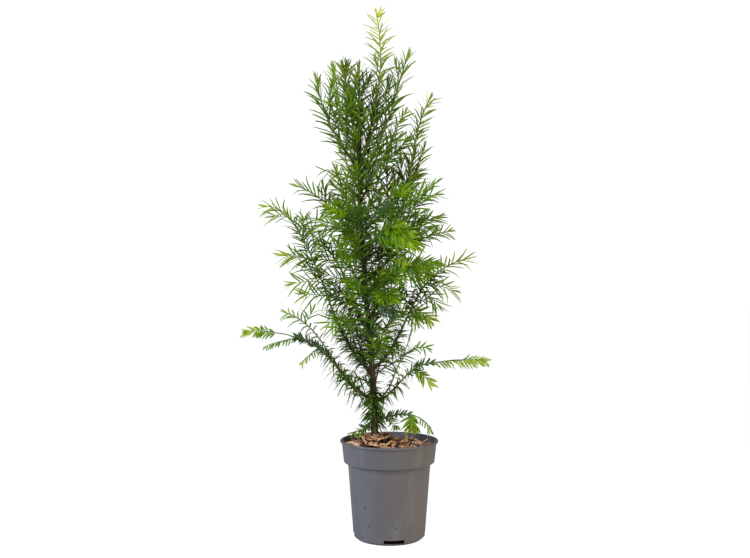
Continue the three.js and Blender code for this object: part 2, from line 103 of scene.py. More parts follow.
# How each kind of shoot carries its needles. `needle` is their length, `gap` the step from one needle to
# the next, `spread` their angle to the twig at its root and its tip, `lift` how far a comb's two rows rise
# out of its plane, `curl` how far each needle bends from its twig, `droop` how far it hangs, `broad` its
# width, `flat` how far a whorl parts to two sides, `roll` how far a comb leans over, `twist` how far a
# needle may turn about itself, `last` the size of the last ones, `bud` how many close round the tip,
# `first` the share of a side shoot that stays bare and `wood` the share of a main shoot that is brown.
HABITS = {
    "leader": dict(
        whorl=True, needle=36, gap=2.7, spread=(28, 14), curl=0.24, droop=0.02, broad=3.1, flat=0.3,
        twist=60, last=0.62, bud=8, wood=0.12,
    ),
    "crest": dict(
        whorl=True, needle=29, gap=2.2, spread=(44, 40), curl=0.18, droop=0.0, broad=2.9, flat=0.42,
        twist=50, last=0.8, bud=8,
    ),
    "bud": dict(
        whorl=True, needle=19, gap=1.1, spread=(14, 6), curl=0.04, droop=0.0, broad=3.8, flat=0.2,
        twist=50, last=0.8, bud=6,
    ),
    "upright": dict(
        whorl=True, needle=33, gap=2.8, spread=(32, 16), curl=0.22, droop=0.04, broad=3.0, flat=0.3,
        twist=60, last=0.62, bud=6, wood=0.22,
    ),
    "rosette": dict(
        whorl=True, needle=28, gap=2.4, spread=(50, 24), curl=0.14, droop=0.08, broad=3.0, flat=0.25,
        twist=45, last=0.7, bud=4, wood=0.3,
    ),
    "spray": dict(
        whorl=False, needle=37, gap=3.5, spread=(44, 14), lift=12, curl=0.22, droop=0.18, broad=2.9,
        roll=52, twist=30, last=0.7, bud=3, wood=0.34,
    ),
    "sparse": dict(
        whorl=False, needle=35, gap=4.2, spread=(68, 44), lift=16, curl=0.14, droop=0.58, broad=2.7,
        roll=40, twist=40, last=0.8, bud=3, wood=0.4,
    ),
    "fan": dict(
        whorl=False, needle=27, gap=1.9, spread=(44, 12), lift=8, curl=0.05, droop=0.10, broad=3.2,
        roll=70, twist=15, last=0.7, bud=3, wood=0.3,
    ),
    "old": dict(
        whorl=False, needle=14, gap=1.3, spread=(60, 34), lift=14, curl=0.10, droop=0.02, broad=2.6,
        roll=40, twist=30, last=0.8, bud=3, wood=0.5,
    ),
    "cover": dict(
        whorl=True, needle=20, gap=1.3, spread=(34, 28), curl=0.32, droop=0.14, broad=2.4, flat=0.2,
        twist=60, last=1,
    ),
    "shag": dict(
        whorl=True, needle=27, gap=2.8, spread=(80, 60), curl=0.14, droop=0.42, broad=2.8, flat=0.1,
        twist=60, last=0.9,
    ),
    "comb": dict(
        whorl=False, needle=16, gap=1.8, spread=(58, 22), lift=-14, curl=0.04, droop=0.08, broad=3.2,
        roll=60, twist=20, last=1, bud=6, first=0.42,
    ),
    "trailing": dict(
        whorl=False, needle=11, gap=2.6, spread=(62, 40), lift=-50, curl=0.04, droop=0.08, broad=2.6,
        roll=20, twist=25, last=1, bud=4,
    ),
    "brush": dict(
        whorl=False, needle=14, gap=2.4, spread=(52, 20), lift=-4, curl=0.04, droop=0.06, broad=3.2,
        roll=50, twist=20, last=1, bud=6, first=0.6,
    ),
    "plume": dict(
        whorl=False, needle=20, gap=2.0, spread=(50, 24), lift=-6, curl=0.04, droop=0.06, broad=4.0,
        roll=50, twist=15, last=0.9, bud=5,
    ),
    "hanging": dict(
        whorl=False, needle=20, gap=4.4, spread=(58, 40), lift=-58, curl=0.04, droop=0.08, broad=3.2,
        roll=8, twist=20, last=1, bud=3,
    ),
}

# Every shoot leaves the trunk at height `at`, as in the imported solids: its heading in plan, how far that
# turns, its length, its rise at root and tip, the belly that steepens its middle and how thick its root is.
# Needles of its habit start where `bare` ends, and `hue` is their colour from root to tip on the scale of
# HUES; `leaves` gives it other needles instead, stretch by stretch: first and last share, habit, length and
# hues. `twigs` are its own side shoots: where on it, heading, length, rise at root and tip, habit and hues.
# `brood` is the spacing of side shoots that it grows by rule.
SHOOTS = {
    "top_leader": dict(
        at=597, heading=20, turn=14, length=261, rise=(72, 101), belly=-6, habit="leader", thick=5,
        leaves=[(0.1, 0.62, "leader", 35, (1.2, 3.8)), (0.1, 0.42, "leader", 35, (1.2, 2)),
                (0.58, 0.98, "crest", 30, (4, 6.2))],
        twigs=[(0.64, 185, 18, 62, 76, "leader", 3.2, 4.2), (0.34, -60, 40, 84, 88, "leader", 1.4, 2.2),
               (1, 0, 6, 60, 60, "bud", 6, 6.4)],
    ),
    "right_front_leader": dict(
        at=586, heading=-16, turn=3, length=207, rise=(50, 70), belly=11, habit="leader", thick=5,
        bare=0.1, hue=(1.2, 3.8),
        twigs=[(0.8, 178, 26, 84, 80, "leader", 2.2, 3.2), (0.3, 178, 50, 84, 88, "leader", 1.4, 2.2),
               (0.55, 170, 44, 84, 88, "leader", 1.4, 2.4), (0.42, 10, 76, 84, 88, "leader", 0.8, 1.8)],
    ),
    "front_leader": dict(
        at=546, heading=-46, turn=18, length=164, rise=(49, 58), belly=5, habit="upright", thick=4,
        leaves=[(0.12, 0.75, "upright", 33, (1.4, 2.4)), (0.7, 1, "upright", 24, (2, 3.8))],
        twigs=[(0.48, 10, 54, 30, 46, "leader", 1.4, 2.4), (0.2, -60, 42, 80, 84, "upright", 1.2, 2.2),
               (0.62, -10, 26, 30, 50, "upright", 2, 3), (0.4, 20, 40, 30, 50, "upright", 1.8, 2.8)],
    ),
    "left_leader": dict(
        at=597, heading=-176, turn=2, length=160, rise=(57, 82), belly=-8, habit="leader", thick=5,
        bare=0.16, hue=(1.4, 3.4),
        twigs=[(0.6, 0, 60, 84, 86, "leader", 1.4, 2.2), (0.48, -60, 44, 70, 84, "leader", 1.4, 2.2)],
    ),
    "left_front_leader": dict(
        at=604, heading=-123, turn=-20, length=159, rise=(38, 75), belly=17, habit="leader", thick=4.6,
        bare=0.2, hue=(1.5, 4.4),
        twigs=[(0.4, 0, 46, 80, 84, "leader", 1.4, 2.4)],
    ),
    "left_back_leader": dict(
        at=617, heading=120, turn=16, length=162, rise=(72, 77), belly=-1, habit="leader", thick=4.6,
        leaves=[(0.1, 1, "leader", 36, (1.4, 3)), (0.6, 1, "leader", 34, (1.4, 2.6))],
        twigs=[(0.9, 20, 16, 70, 76, "leader", 2, 3), (0.45, 10, 70, 80, 86, "leader", 1.4, 2.4)],
    ),
    "back_leader": dict(
        at=566, heading=91, turn=-69, length=188, rise=(59, 64), belly=31, habit="leader", thick=4.4,
        bare=0.8, hue=(1.0, 1.6),
    ),
    "right_outer_leader": dict(
        at=476, heading=10, turn=-7, length=279, rise=(15, 61), belly=42, habit="upright", thick=4.6,
        leaves=[(0.3, 0.8, "upright", 32, (1.6, 2.8)), (0.76, 1, "crest", 29, (3.4, 4.8))],
        twigs=[(0.34, 0, 42, 50, 20, "spray", 1.8, 3.6), (0.26, -10, 40, 60, 40, "spray", 1.8, 3),
               (0.42, 20, 66, 76, 82, "leader", 1.4, 2.6), (0.3, 176, 62, 84, 82, "leader", 1.4, 2.4)],
    ),
    "right_back_leader": dict(
        at=500, heading=29, turn=-10, length=185, rise=(32, 73), belly=-3, habit="upright", thick=4,
        bare=0.24, hue=(1.4, 4),
        twigs=[(0.3, 20, 50, 60, 70, "leader", 1.2, 2.2), (0.34, 120, 74, 84, 88, "leader", 1.2, 2.2),
               (0.5, 20, 50, 50, 60, "upright", 1.4, 2.6), (0.6, 180, 44, 76, 84, "leader", 1.4, 2.4)],
    ),
    "left_upper": dict(
        at=472, heading=160, turn=15, length=150, rise=(55, 21), belly=9, habit="spray", thick=4,
        bare=0.16, hue=(2, 4),
        twigs=[(0.56, -172, 30, 64, 50, "spray", 2.6, 3.6), (0.3, 190, 40, 74, 60, "spray", 1.8, 3.4),
               (0.64, 150, 26, 80, 70, "spray", 2, 3)],
    ),
    "left_small": dict(
        at=551, heading=-166, turn=-10, length=74, rise=(58, 23), habit="sparse", bare=0.1,
        hue=(2, 3.6),
    ),
    "left_inner": dict(
        at=463, heading=-153, turn=-26, length=88, rise=(70, 10), belly=-2, habit="spray",
        leaves=[(0.1, 1, "spray", 25, (2.4, 3.6))],
        twigs=[(0.6, 178, 34, 6, -14, "spray", 2.6, 3.8)],
    ),
    "left_long": dict(
        at=261, heading=-166, turn=-35, length=307, rise=(46, 52), belly=20, habit="spray", thick=5,
        leaves=[(0.36, 0.7, "sparse", 34, (1.4, 2.6)), (0.1, 0.34, "sparse", 27, (1.4, 1.8)),
                (0.54, 0.72, "sparse", 30, (1.8, 3)), (0.02, 0.22, "shag", 25, (1.2, 1.6)),
                (0.6, 1, "spray", 31, (2.4, 4.4))],
        twigs=[(1, 175, 36, 38, 8, "spray", 3.8, 5.2), (0.98, -176, 24, 16, -10, "spray", 3.6, 4.8),
               (0.82, 150, 36, 84, 86, "spray", 2.8, 4), (0.84, 20, 46, 56, 34, "spray", 2.8, 4),
               (0.76, 110, 46, 60, 40, "spray", 2.8, 4), (0.74, -20, 50, 60, 40, "spray", 2.8, 4),
               (0.7, -172, 40, 24, 10, "spray", 3, 4.6), (0.56, 40, 36, 30, 10, "sparse", 2, 2.8),
               (0.48, 0, 38, 30, 0, "sparse", 2, 2.8), (0.88, 60, 30, 60, 40, "spray", 2.8, 4),
               (0.1, 100, 44, 70, 60, "sparse", 1.4, 2.2), (0.2, 90, 44, 70, 60, "sparse", 1.6, 2.4),
               (0.71, -174, 46, 14, 4, "spray", 3.4, 5.2), (0.6, -174, 30, 50, 24, "spray", 3.2, 4.6),
               (0.58, -172, 46, 8, -12, "spray", 3.2, 5), (0.5, -176, 38, 14, -4, "spray", 3.2, 5)],
    ),
    "left_middle": dict(
        at=331, heading=-171, turn=1, length=188, rise=(54, 33), belly=26, habit="spray", thick=4.6,
        leaves=[(0.12, 0.6, "sparse", 33, (1.4, 2.2)), (0.5, 1, "spray", 33, (2.6, 4.4))],
        twigs=[(0.2, 178, 92, 34, 46, "sparse", 1.6, 2.8), (0.24, 120, 50, 74, 70, "sparse", 1.4, 2.4),
               (0.74, -130, 34, 40, 20, "spray", 2.6, 4), (0.5, -175, 38, 30, 10, "spray", 2.2, 3.6),
               (0.62, -168, 38, 40, 20, "spray", 2.6, 4), (0.36, -176, 36, 20, -6, "sparse", 1.6, 2.4),
               (0.26, 178, 40, 40, 10, "sparse", 1.6, 2.6), (0.16, 178, 40, 30, 0, "sparse", 1.6, 2.4),
               (0.66, 178, 34, 56, 30, "spray", 2.6, 4), (0.4, -178, 40, 24, 0, "sparse", 1.8, 3),
               (0.5, -20, 24, 30, 10, "sparse", 1.6, 2.4)],
    ),
    "left_low_upper": dict(
        at=222, heading=-172, turn=-25, length=211, rise=(22, 14), belly=40, habit="spray", thick=4,
        leaves=[(0.42, 0.82, "sparse", 26, (1.8, 2.8)), (0.8, 1, "spray", 22, (3.6, 4.8))],
        twigs=[(0.82, 20, 20, 56, 60, "spray", 3, 4.4)],
    ),
    "left_low": dict(
        at=221, heading=-146, turn=-23, length=176, rise=(19, 14), belly=34, habit="old", thick=4.6,
        leaves=[(0, 0.74, "sparse", 32, (1.2, 1.6)), (0.3, 0.7, "sparse", 30, (1.2, 1.8)),
                (0.02, 0.5, "shag", 27, (1.4, 2)), (0.3, 0.66, "shag", 23, (1.4, 1.8)),
                (0, 0.16, "shag", 24, (1.2, 1.6)), (0.56, 1, "old", 14, (0, 0.4)),
                (0.7, 1, "old", 15, (0, 0.4))],
        twigs=[(1, -173, 80, 20, -4, "comb", 3.8, 5), (0.97, -172, 56, -2, -24, "trailing", 3.2, 4.2),
               (0.77, -166, 36, -32, -48, "trailing", 3.4, 4.6)],
    ),
    "right_long": dict(
        at=270, heading=-5, turn=13, length=251, rise=(43, 9), belly=37, habit="spray", thick=5,
        leaves=[(0.1, 0.7, "sparse", 31, (1.4, 2)), (0.4, 0.62, "sparse", 32, (1.4, 2)),
                (0.4, 0.76, "sparse", 34, (1.6, 2.4)), (0.52, 0.76, "sparse", 32, (1.6, 2.8)),
                (0.66, 1, "spray", 33, (3.2, 5.7))],
        twigs=[(0.67, 2, 46, 0, -24, "spray", 3.4, 5.2), (0.54, -6, 20, 24, 0, "spray", 2.6, 4.2),
               (0.5, 160, 36, 44, 20, "sparse", 1.6, 2.6), (0.47, -12, 36, -2, -48, "fan", 4, 4.8),
               (0.46, -40, 22, -20, -70, "fan", 4, 4.8), (0.76, -150, 36, 20, 0, "fan", 3, 3.8),
               (0.5, 0, 42, 84, 80, "sparse", 1.6, 2.6), (0.6, 10, 34, 80, 60, "spray", 2, 3.2),
               (0.62, -10, 34, -30, -50, "spray", 2.2, 3.6), (0.7, 60, 40, 10, -10, "spray", 1.8, 3),
               (0.52, 172, 30, 30, 10, "sparse", 1.4, 2.2), (0.56, 150, 34, 10, 0, "sparse", 1.4, 2.2),
               (0.46, 160, 34, 10, 0, "sparse", 1.4, 2.2)],
    ),
    "right_low": dict(
        at=216, heading=-36, turn=26, length=127, rise=(17, 2), belly=38, habit="old", thick=4.4,
        leaves=[(0.06, 0.7, "sparse", 24, (1.4, 1.6)), (0.3, 0.66, "shag", 17, (1.4, 1.8)),
                (0, 0.5, "shag", 18, (1.2, 1.6)), (0.62, 1, "old", 14, (1, 1.4))],
        twigs=[(1, -7, 85, 11, -3, "hanging", 4.2, 5), (0.98, -7, 85, 11, -3, "brush", 4.2, 5),
               (0.72, -10, 36, -18, -48, "plume", 4, 4.8)],
    ),
    "right_middle": dict(
        at=416, heading=-21, turn=26, length=165, rise=(44, 6), belly=9, habit="spray", thick=3.8,
        leaves=[(0.16, 0.84, "spray", 34, (1.8, 3.6)), (0.8, 1, "spray", 24, (3.4, 4.2))],
        twigs=[(0.5, -10, 36, 50, 30, "spray", 2, 3.2), (0.4, -40, 44, 40, 10, "spray", 2, 3.4),
               (0.4, -60, 34, -4, -36, "fan", 3.8, 4.8)],
    ),
    "right_upper_front": dict(
        at=456, heading=-20, turn=9, length=169, rise=(19, 42), belly=22, habit="spray", thick=3.8,
        leaves=[(0.2, 1, "spray", 36, (2.2, 4))],
        twigs=[(0.6, 10, 40, 56, 30, "spray", 2.6, 3.8), (0.2, -30, 50, 30, 0, "spray", 2, 3.2),
               (0.5, -60, 40, 30, 10, "fan", 2, 3.4), (0.5, -130, 34, 60, 50, "rosette", 1, 2.2),
               (0.8, 0, 26, 30, 10, "spray", 3, 4), (0.5, 170, 36, 40, 20, "spray", 2, 3),
               (0.46, -10, 50, 10, -10, "spray", 2, 3.4), (0.5, 0, 36, 40, 20, "spray", 2.6, 3.8),
               (0.68, 10, 40, 74, 60, "spray", 2.6, 3.8), (0.4, 10, 46, 70, 60, "spray", 1.8, 3)],
    ),
    "right_upper_back": dict(
        at=445, heading=20, turn=-12, length=152, rise=(10, 5), belly=38, habit="spray", thick=3.6,
        bare=0.14, hue=(1.8, 3.8), brood=50,
        twigs=[(0.6, -30, 34, 50, 30, "fan", 2.2, 3.4), (0.4, -4, 30, 40, 20, "spray", 2.2, 3.6),
               (0.3, 10, 40, 50, 30, "spray", 2, 3.4)],
    ),
    "right_inner": dict(
        at=394, heading=-40, turn=35, length=139, rise=(40, -12), belly=12, habit="fan", thick=3.4,
        bare=0.14, hue=(2, 3.8),
        twigs=[(0.7, 20, 22, 30, 10, "spray", 3, 4), (0.55, -20, 36, -10, -34, "fan", 2.2, 3.4)],
    ),
    "right_thin": dict(
        at=220, heading=-37, turn=20, length=144, rise=(15, -19), belly=69, habit="sparse", thick=2.8,
        leaves=[(0.04, 0.3, "shag", 18, (1.2, 1.8)), (0.2, 0.7, "sparse", 25, (1.2, 1.8)),
                (0.8, 1, "spray", 16, (3.4, 4.2))],
        twigs=[(0.68, 0, 30, 76, 70, "sparse", 1.4, 2.4)],
    ),
    "foot_right": dict(
        at=187, heading=-23, turn=3, length=113, rise=(19, -69), belly=26, habit="old", thick=2.8,
        leaves=[(0.1, 0.56, "old", 11, (0.8, 1)), (0.7, 1, "trailing", 10, (3.4, 4.6))],
        twigs=[(0.57, -110, 20, -74, -86, "plume", 4, 4.6), (0.6, -24, 22, -74, -84, "plume", 4, 4.8),
               (0.59, -60, 20, -76, -84, "plume", 4, 4.6), (0.2, -30, 24, -30, -60, "old", 2.4, 3.4)],
    ),
    "foot_left": dict(
        at=178, heading=-156, turn=-2, length=44, rise=(-14, -10), habit="old",
        leaves=[(0.1, 0.6, "old", 14, (1, 2)), (0.4, 1, "trailing", 13, (3.4, 4.4))],
    ),
    "front_upper_right": dict(
        at=477, heading=-77, turn=40, length=138, rise=(44, 16), belly=10, habit="rosette", bare=0.5,
        hue=(1.4, 3.8),
        twigs=[(0.9, -60, 30, 20, -14, "fan", 3.4, 4), (0.86, -20, 26, 24, 0, "fan", 3.2, 3.8),
               (0.6, -60, 34, 0, -30, "fan", 0.8, 1.6), (0.75, -60, 36, -40, -60, "fan", 0.8, 1.8)],
    ),
    "front_right": dict(
        at=436, heading=-70, turn=6, length=132, rise=(62, 0), habit="rosette",
        leaves=[(0.4, 1, "rosette", 28, (2, 4.2))],
        twigs=[(0.86, -30, 42, 10, -24, "fan", 3.8, 4.4), (0.8, -50, 36, 20, -10, "fan", 3.6, 4.2),
               (0.94, -30, 46, -20, -52, "fan", 3.8, 4.5), (0.9, -16, 54, -16, -44, "fan", 3.2, 4.2),
               (0.6, -30, 40, 0, -40, "fan", 3, 4)],
    ),
    "front_upper_left": dict(
        at=458, heading=-98, turn=-27, length=118, rise=(50, 28), belly=4, habit="rosette", bare=0.08,
        hue=(1.2, 3),
        twigs=[(0.8, -165, 34, 30, 0, "fan", 3.6, 4.2), (0.9, -120, 26, 10, -20, "fan", 3.4, 4.2),
               (0.5, -80, 40, 56, 40, "rosette", 0.8, 1.8), (0.3, -136, 42, 4, -24, "fan", 3.4, 4.2),
               (0.12, -130, 42, -6, -28, "fan", 2, 3.2)],
    ),
    "front_middle": dict(
        at=370, heading=-62, turn=4, length=116, rise=(60, 6), habit="rosette", bare=0.3,
        hue=(1.2, 3.6),
        twigs=[(0.8, -40, 26, 10, -30, "fan", 2.8, 3.8)],
    ),
    "front_left": dict(
        at=358, heading=-104, turn=-6, length=120, rise=(58, 4), habit="rosette", bare=0.34,
        hue=(1.2, 3.6),
        twigs=[(0.7, -80, 30, 10, -20, "spray", 2.4, 3.6)],
    ),
    "front_lower_right": dict(
        at=346, heading=-71, turn=6, length=118, rise=(60, -4), habit="rosette", bare=0.3,
        hue=(1, 3.2),
        twigs=[(0.84, -60, 26, 0, -40, "fan", 3, 3.8), (0.5, -30, 36, -20, -40, "fan", 0, 0.6),
               (0.8, -110, 28, 0, -30, "fan", 2.8, 3.6)],
    ),
    "front_lower_left": dict(
        at=300, heading=-116, turn=-6, length=124, rise=(58, 4), habit="sparse", bare=0.2,
        hue=(1.2, 3.4),
        twigs=[(0.8, -150, 34, 10, -30, "spray", 2.6, 3.8), (0.6, -80, 40, 30, 0, "sparse", 1.2, 2),
               (0.3, -40, 30, 40, 30, "rosette", 1.2, 2)],
    ),
    "front_low": dict(
        at=246, heading=-150, turn=4, length=62, rise=(30, 6), habit="old",
        leaves=[(0, 1, "shag", 25, (1.2, 2)), (0, 1, "sparse", 24, (1.2, 2))],
    ),
    "back_low_right": dict(
        at=236, heading=76, turn=6, length=176, rise=(46, -4), belly=6, habit="sparse", thick=3.2,
        bare=0.24, hue=(1, 3.4), brood=50,
        twigs=[(0.5, 44, 50, 20, 0, "old", 1, 3)],
    ),
    "back_low_left": dict(
        at=250, heading=112, turn=-4, length=176, rise=(40, 2), belly=16, habit="sparse", thick=4.2,
        bare=0.24, hue=(1, 3.4), brood=36,
    ),
    "back_lower": dict(
        at=305, heading=84, turn=6, length=196, rise=(40, 8), belly=30, habit="spray", thick=4.4,
        bare=0.2, hue=(1.2, 3.8), brood=26,
    ),
    "back_middle_right": dict(
        at=352, heading=56, turn=6, length=160, rise=(44, 14), belly=24, habit="spray", bare=0.16,
        hue=(1.4, 3.8), brood=26,
    ),
    "back_middle_left": dict(
        at=378, heading=124, turn=-6, length=160, rise=(46, 16), belly=22, habit="spray", bare=0.16,
        hue=(1.4, 3.8), brood=50,
    ),
    "back_upper": dict(
        at=428, heading=92, turn=-8, length=160, rise=(48, 30), belly=16, habit="spray", bare=0.16,
        hue=(1.4, 3.8), brood=26,
    ),
    "back_upper_right": dict(
        at=500, heading=62, turn=-10, length=146, rise=(50, 60), belly=6, habit="upright", bare=0.14,
        hue=(1.4, 3.8),
    ),
    "back_upper_left": dict(
        at=478, heading=122, turn=8, length=150, rise=(50, 58), belly=8, habit="upright", bare=0.14,
        hue=(1.4, 3.8), brood=36,
    ),
}

# Needles grow on the trunk itself along these stretches: lowest and highest point, length, step, hue, angle
# to the trunk and curl.
TRUNK_NEEDLES = [
    dict(low=184, high=242, needle=29, gap=0.5, hue=(1.4, 2.3), spread=(128, 104), curl=0.1),
    dict(low=250, high=283, needle=26, gap=2.8, hue=(1.2, 1.8), spread=(84, 60), curl=0.1),
    dict(low=283, high=560, needle=21, gap=1.2, hue=(0.4, 1.4), spread=(80, 50), curl=0.1),
    dict(low=548, high=616, needle=26, gap=1.3, hue=(1, 1.8), spread=(60, 40), curl=0.14),
    dict(low=560, high=700, needle=34, gap=2.1, hue=(0.9, 1.9), spread=(34, 28), curl=0.24),
    dict(low=690, high=764, needle=32, gap=2.4, hue=(1.2, 3.0), spread=(30, 12), curl=0.24),
]

# Needle colours from the oldest to the newest growth: the record's slot, upper face, then under face.
HUES = [
    ("teal", "old_needles", (0.055, 0.105, 0.052), (0.100, 0.150, 0.085)),
    ("blue", "old_needles", (0.036, 0.092, 0.008), (0.090, 0.150, 0.024)),
    ("mid", "green_needles", (0.060, 0.142, 0.005), (0.130, 0.206, 0.020)),
    ("fresh", "green_needles", (0.092, 0.202, 0.004), (0.178, 0.264, 0.021)),
    ("bright", "young_needles", (0.128, 0.262, 0.003), (0.226, 0.342, 0.023)),
    ("lime", "young_needles", (0.270, 0.390, 0.018), (0.350, 0.450, 0.045)),
    ("gold", "young_needles", (0.450, 0.500, 0.030), (0.500, 0.540, 0.060)),
]


# ---- Small maths --------------------------------------------------------------------------------
TINY = 1e-12


def lerp(a, b, share):
    """The value that lies a share of the way from a to b."""
    return a + (b - a) * share


def smooth(t):
    """The ease curve 3t² - 2t³, held at 0 and 1 outside that range."""
    t = np.clip(t, 0, 1)
    return t * t * (3 - 2 * t)


def unit(vectors):
    """Vectors divided by their own lengths."""
    return vectors / np.maximum(np.linalg.norm(vectors, axis=-1, keepdims=True), TINY)


def dot(a, b):
    """The sum of the products of two vectors' parts, row by row."""
    return np.sum(a * b, axis=-1, keepdims=True)


def circle(count):
    """Angles evenly round a full turn."""
    return np.linspace(0, 2 * math.pi, count, endpoint=False)


# ---- Growth -------------------------------------------------------------------------------------
PART_POINTS = 60
STEP_LENGTH = 5
LEAST_STEPS = 8
SWAY_WAVES = (1.7, 3.1, 5.3)
SWAY_START = 0.3  # the power by which a sway comes in from nothing at the root


class Path:
    """A grown line, with the way it runs, the level direction square to it and the one over both."""

    def __init__(self, points, heading):
        """Runs are the points' slopes; a side is the heading's level normal made square to the run."""
        steps = np.linalg.norm(np.diff(points, axis=0), axis=1)
        self.arc = np.concatenate([[0.0], np.cumsum(steps)])
        self.length = self.arc[-1]
        run = unit(np.gradient(points, axis=0))
        turn = np.radians(heading)
        level = np.stack([-np.sin(turn), np.cos(turn), np.zeros_like(turn)], axis=1)
        side = unit(level - run * dot(level, run))
        self.rows = np.concatenate([points, run, side, np.cross(run, side)], axis=1)

    def rows_at(self, where):
        """All the line's columns, read off at distances along it."""
        return np.stack([np.interp(where, self.arc, column) for column in self.rows.T], axis=1)

    def part(self, first, last):
        """The stretch between two shares of the length, as a path of its own."""
        piece = object.__new__(Path)
        piece.length = self.length * (last - first)
        piece.arc = np.linspace(0, piece.length, PART_POINTS)
        piece.rows = self.rows_at(np.linspace(first, last, PART_POINTS) * self.length)
        return piece

    def at(self, share):
        """Points, runs, sides and overs at shares of the length."""
        rows = self.rows_at(np.atleast_1d(share) * self.length)
        return rows[:, 0:3], unit(rows[:, 3:6]), unit(rows[:, 6:9]), unit(rows[:, 9:12])


def trunk_axis(height):
    """The trunk's middle: its foot plus its lean, eased in from the foot to the top of the lean."""
    lean = smooth((height - TRUNK["foot"][2]) / (TRUNK["lean_top"] - TRUNK["foot"][2]))
    x = TRUNK["foot"][0] + TRUNK["lean"][0] * lean
    y = TRUNK["foot"][1] + TRUNK["lean"][1] * lean
    return np.stack([x, y, height + 0 * lean], axis=-1)


def trunk_radius(height):
    """An even taper from foot to tip, plus a flare that dies away above the foot."""
    up = height - TRUNK["foot"][2]
    taper = lerp(TRUNK["foot_radius"], TRUNK["tip_radius"], up / (TRUNK["tip"] - TRUNK["foot"][2]))
    return taper + TRUNK["flare"] * np.exp(-up / TRUNK["flare_height"])


def grow(start, heading, turn, length, rise, belly=0.0, rng=None, sway=0.0):
    """A line from start: heading swings evenly, rise runs from root to tip and bulges by the belly.

    Sway adds slow sine waves to both, each less the faster it is, so that no shoot is quite smooth.
    """
    steps = max(LEAST_STEPS, int(length / STEP_LENGTH))
    u = (np.arange(steps) + 0.5) / steps

    def swing(wave):
        """One sine wave along the shoot, times a power of the share."""
        return sway / wave * 2 * np.sin(2 * math.pi * wave * u + rng.uniform(0, PHASES)) * u**SWAY_START

    course = heading + turn * u
    slope = lerp(rise[0], rise[1], u) + belly * np.sin(math.pi * u)
    if sway:
        for wave in SWAY_WAVES:
            course = course + swing(wave)
            slope = slope + swing(wave)
    c, s = np.radians(course), np.radians(slope)
    step = np.stack([np.cos(s) * np.cos(c), np.cos(s) * np.sin(c), np.sin(s)], axis=1) * length * MM / steps
    points = np.vstack([start, start + np.cumsum(step, axis=0)])
    return Path(points, np.append(course, course[-1]))


def trunk_point(height):
    """Where a shoot leaves the trunk, for a height in millimetres."""
    return trunk_axis(np.float64(height * MM))


# ---- Needles ------------------------------------------------------------------------------------
# How a row of needles runs and how uneven it is. `root` and `tip_from` are the shares between which they
# are full size, `root_size` the size of the first. `length`, `width` and `curl` are the range of each, and
# `place`, `turn`, `lift`, `spread`, `bend` and `hue` the scatter. `forward` is how far a whorl's needles
# face their tip and `off` how far they start from the middle of the twig.
NEEDLE = dict(
    root=0.16, root_size=0.8, tip_from=0.78, length=(0.78, 1.1), width=(0.86, 1.1), curl=(0.4, 1.7),
    place=0.3, turn=8, lift=14, spread=6, bend=0.04, hue=0.28, forward=0.5, off=0.7,
)
# The needles that close round a bud: lean and length of the outermost and the innermost, their width, how
# far back the outermost starts, their bend and the scatter of lean and hue. `nudge` keeps a face for one
# that runs straight on from its twig.
TUFT = dict(
    lean=(14, 2), length=(0.72, 0.45), width=0.85, back=2.5, bend=0.04, lean_scatter=3, hue=0.25,
    nudge=1e-6,
)
BROADSIDE = np.array([1.0, 0.0, 0.0])  # whorled needles part a little to both sides of the plant
OUTWARD = dict(soft=8 * MM, up=np.array([0, 0, 0.3]))
SIGN_NUDGE = 1e-9  # a twig that runs square to the plant still leans one way

needle_rows = []
needle_hues = []


def add_needles(base, along, face, bend, length, width, hue):
    """Keeps a row of needles for the meshes: where each starts, its way, face, bend, sizes and hue."""
    needle_rows.append(np.concatenate([base, along, face, bend, length[:, None], width[:, None]], axis=1))
    needle_hues.append(hue)


def outward(point):
    """The level direction from the trunk's middle to a point, soft near the trunk, and a little up."""
    away = point - trunk_axis(point[:, 2])
    away[:, 2] = 0
    return away / (np.linalg.norm(away, axis=1, keepdims=True) + OUTWARD["soft"]) + OUTWARD["up"]


def rolled(side, over, run, degrees):
    """A comb's side and over turned about its twig, so that its upper face leans out of the crown.

    The turn is full for a twig that runs across the plant's broad side and none for one that runs along
    the depth, and it leans to the front on the front half and on the twigs in the middle.
    """
    turn = np.radians(degrees) * np.abs(run[:, 0:1]) * -np.sign(side[:, 1:2] + SIGN_NUDGE)
    c, s = np.cos(turn), np.sin(turn)
    return side * c - over * s, over * c + side * s


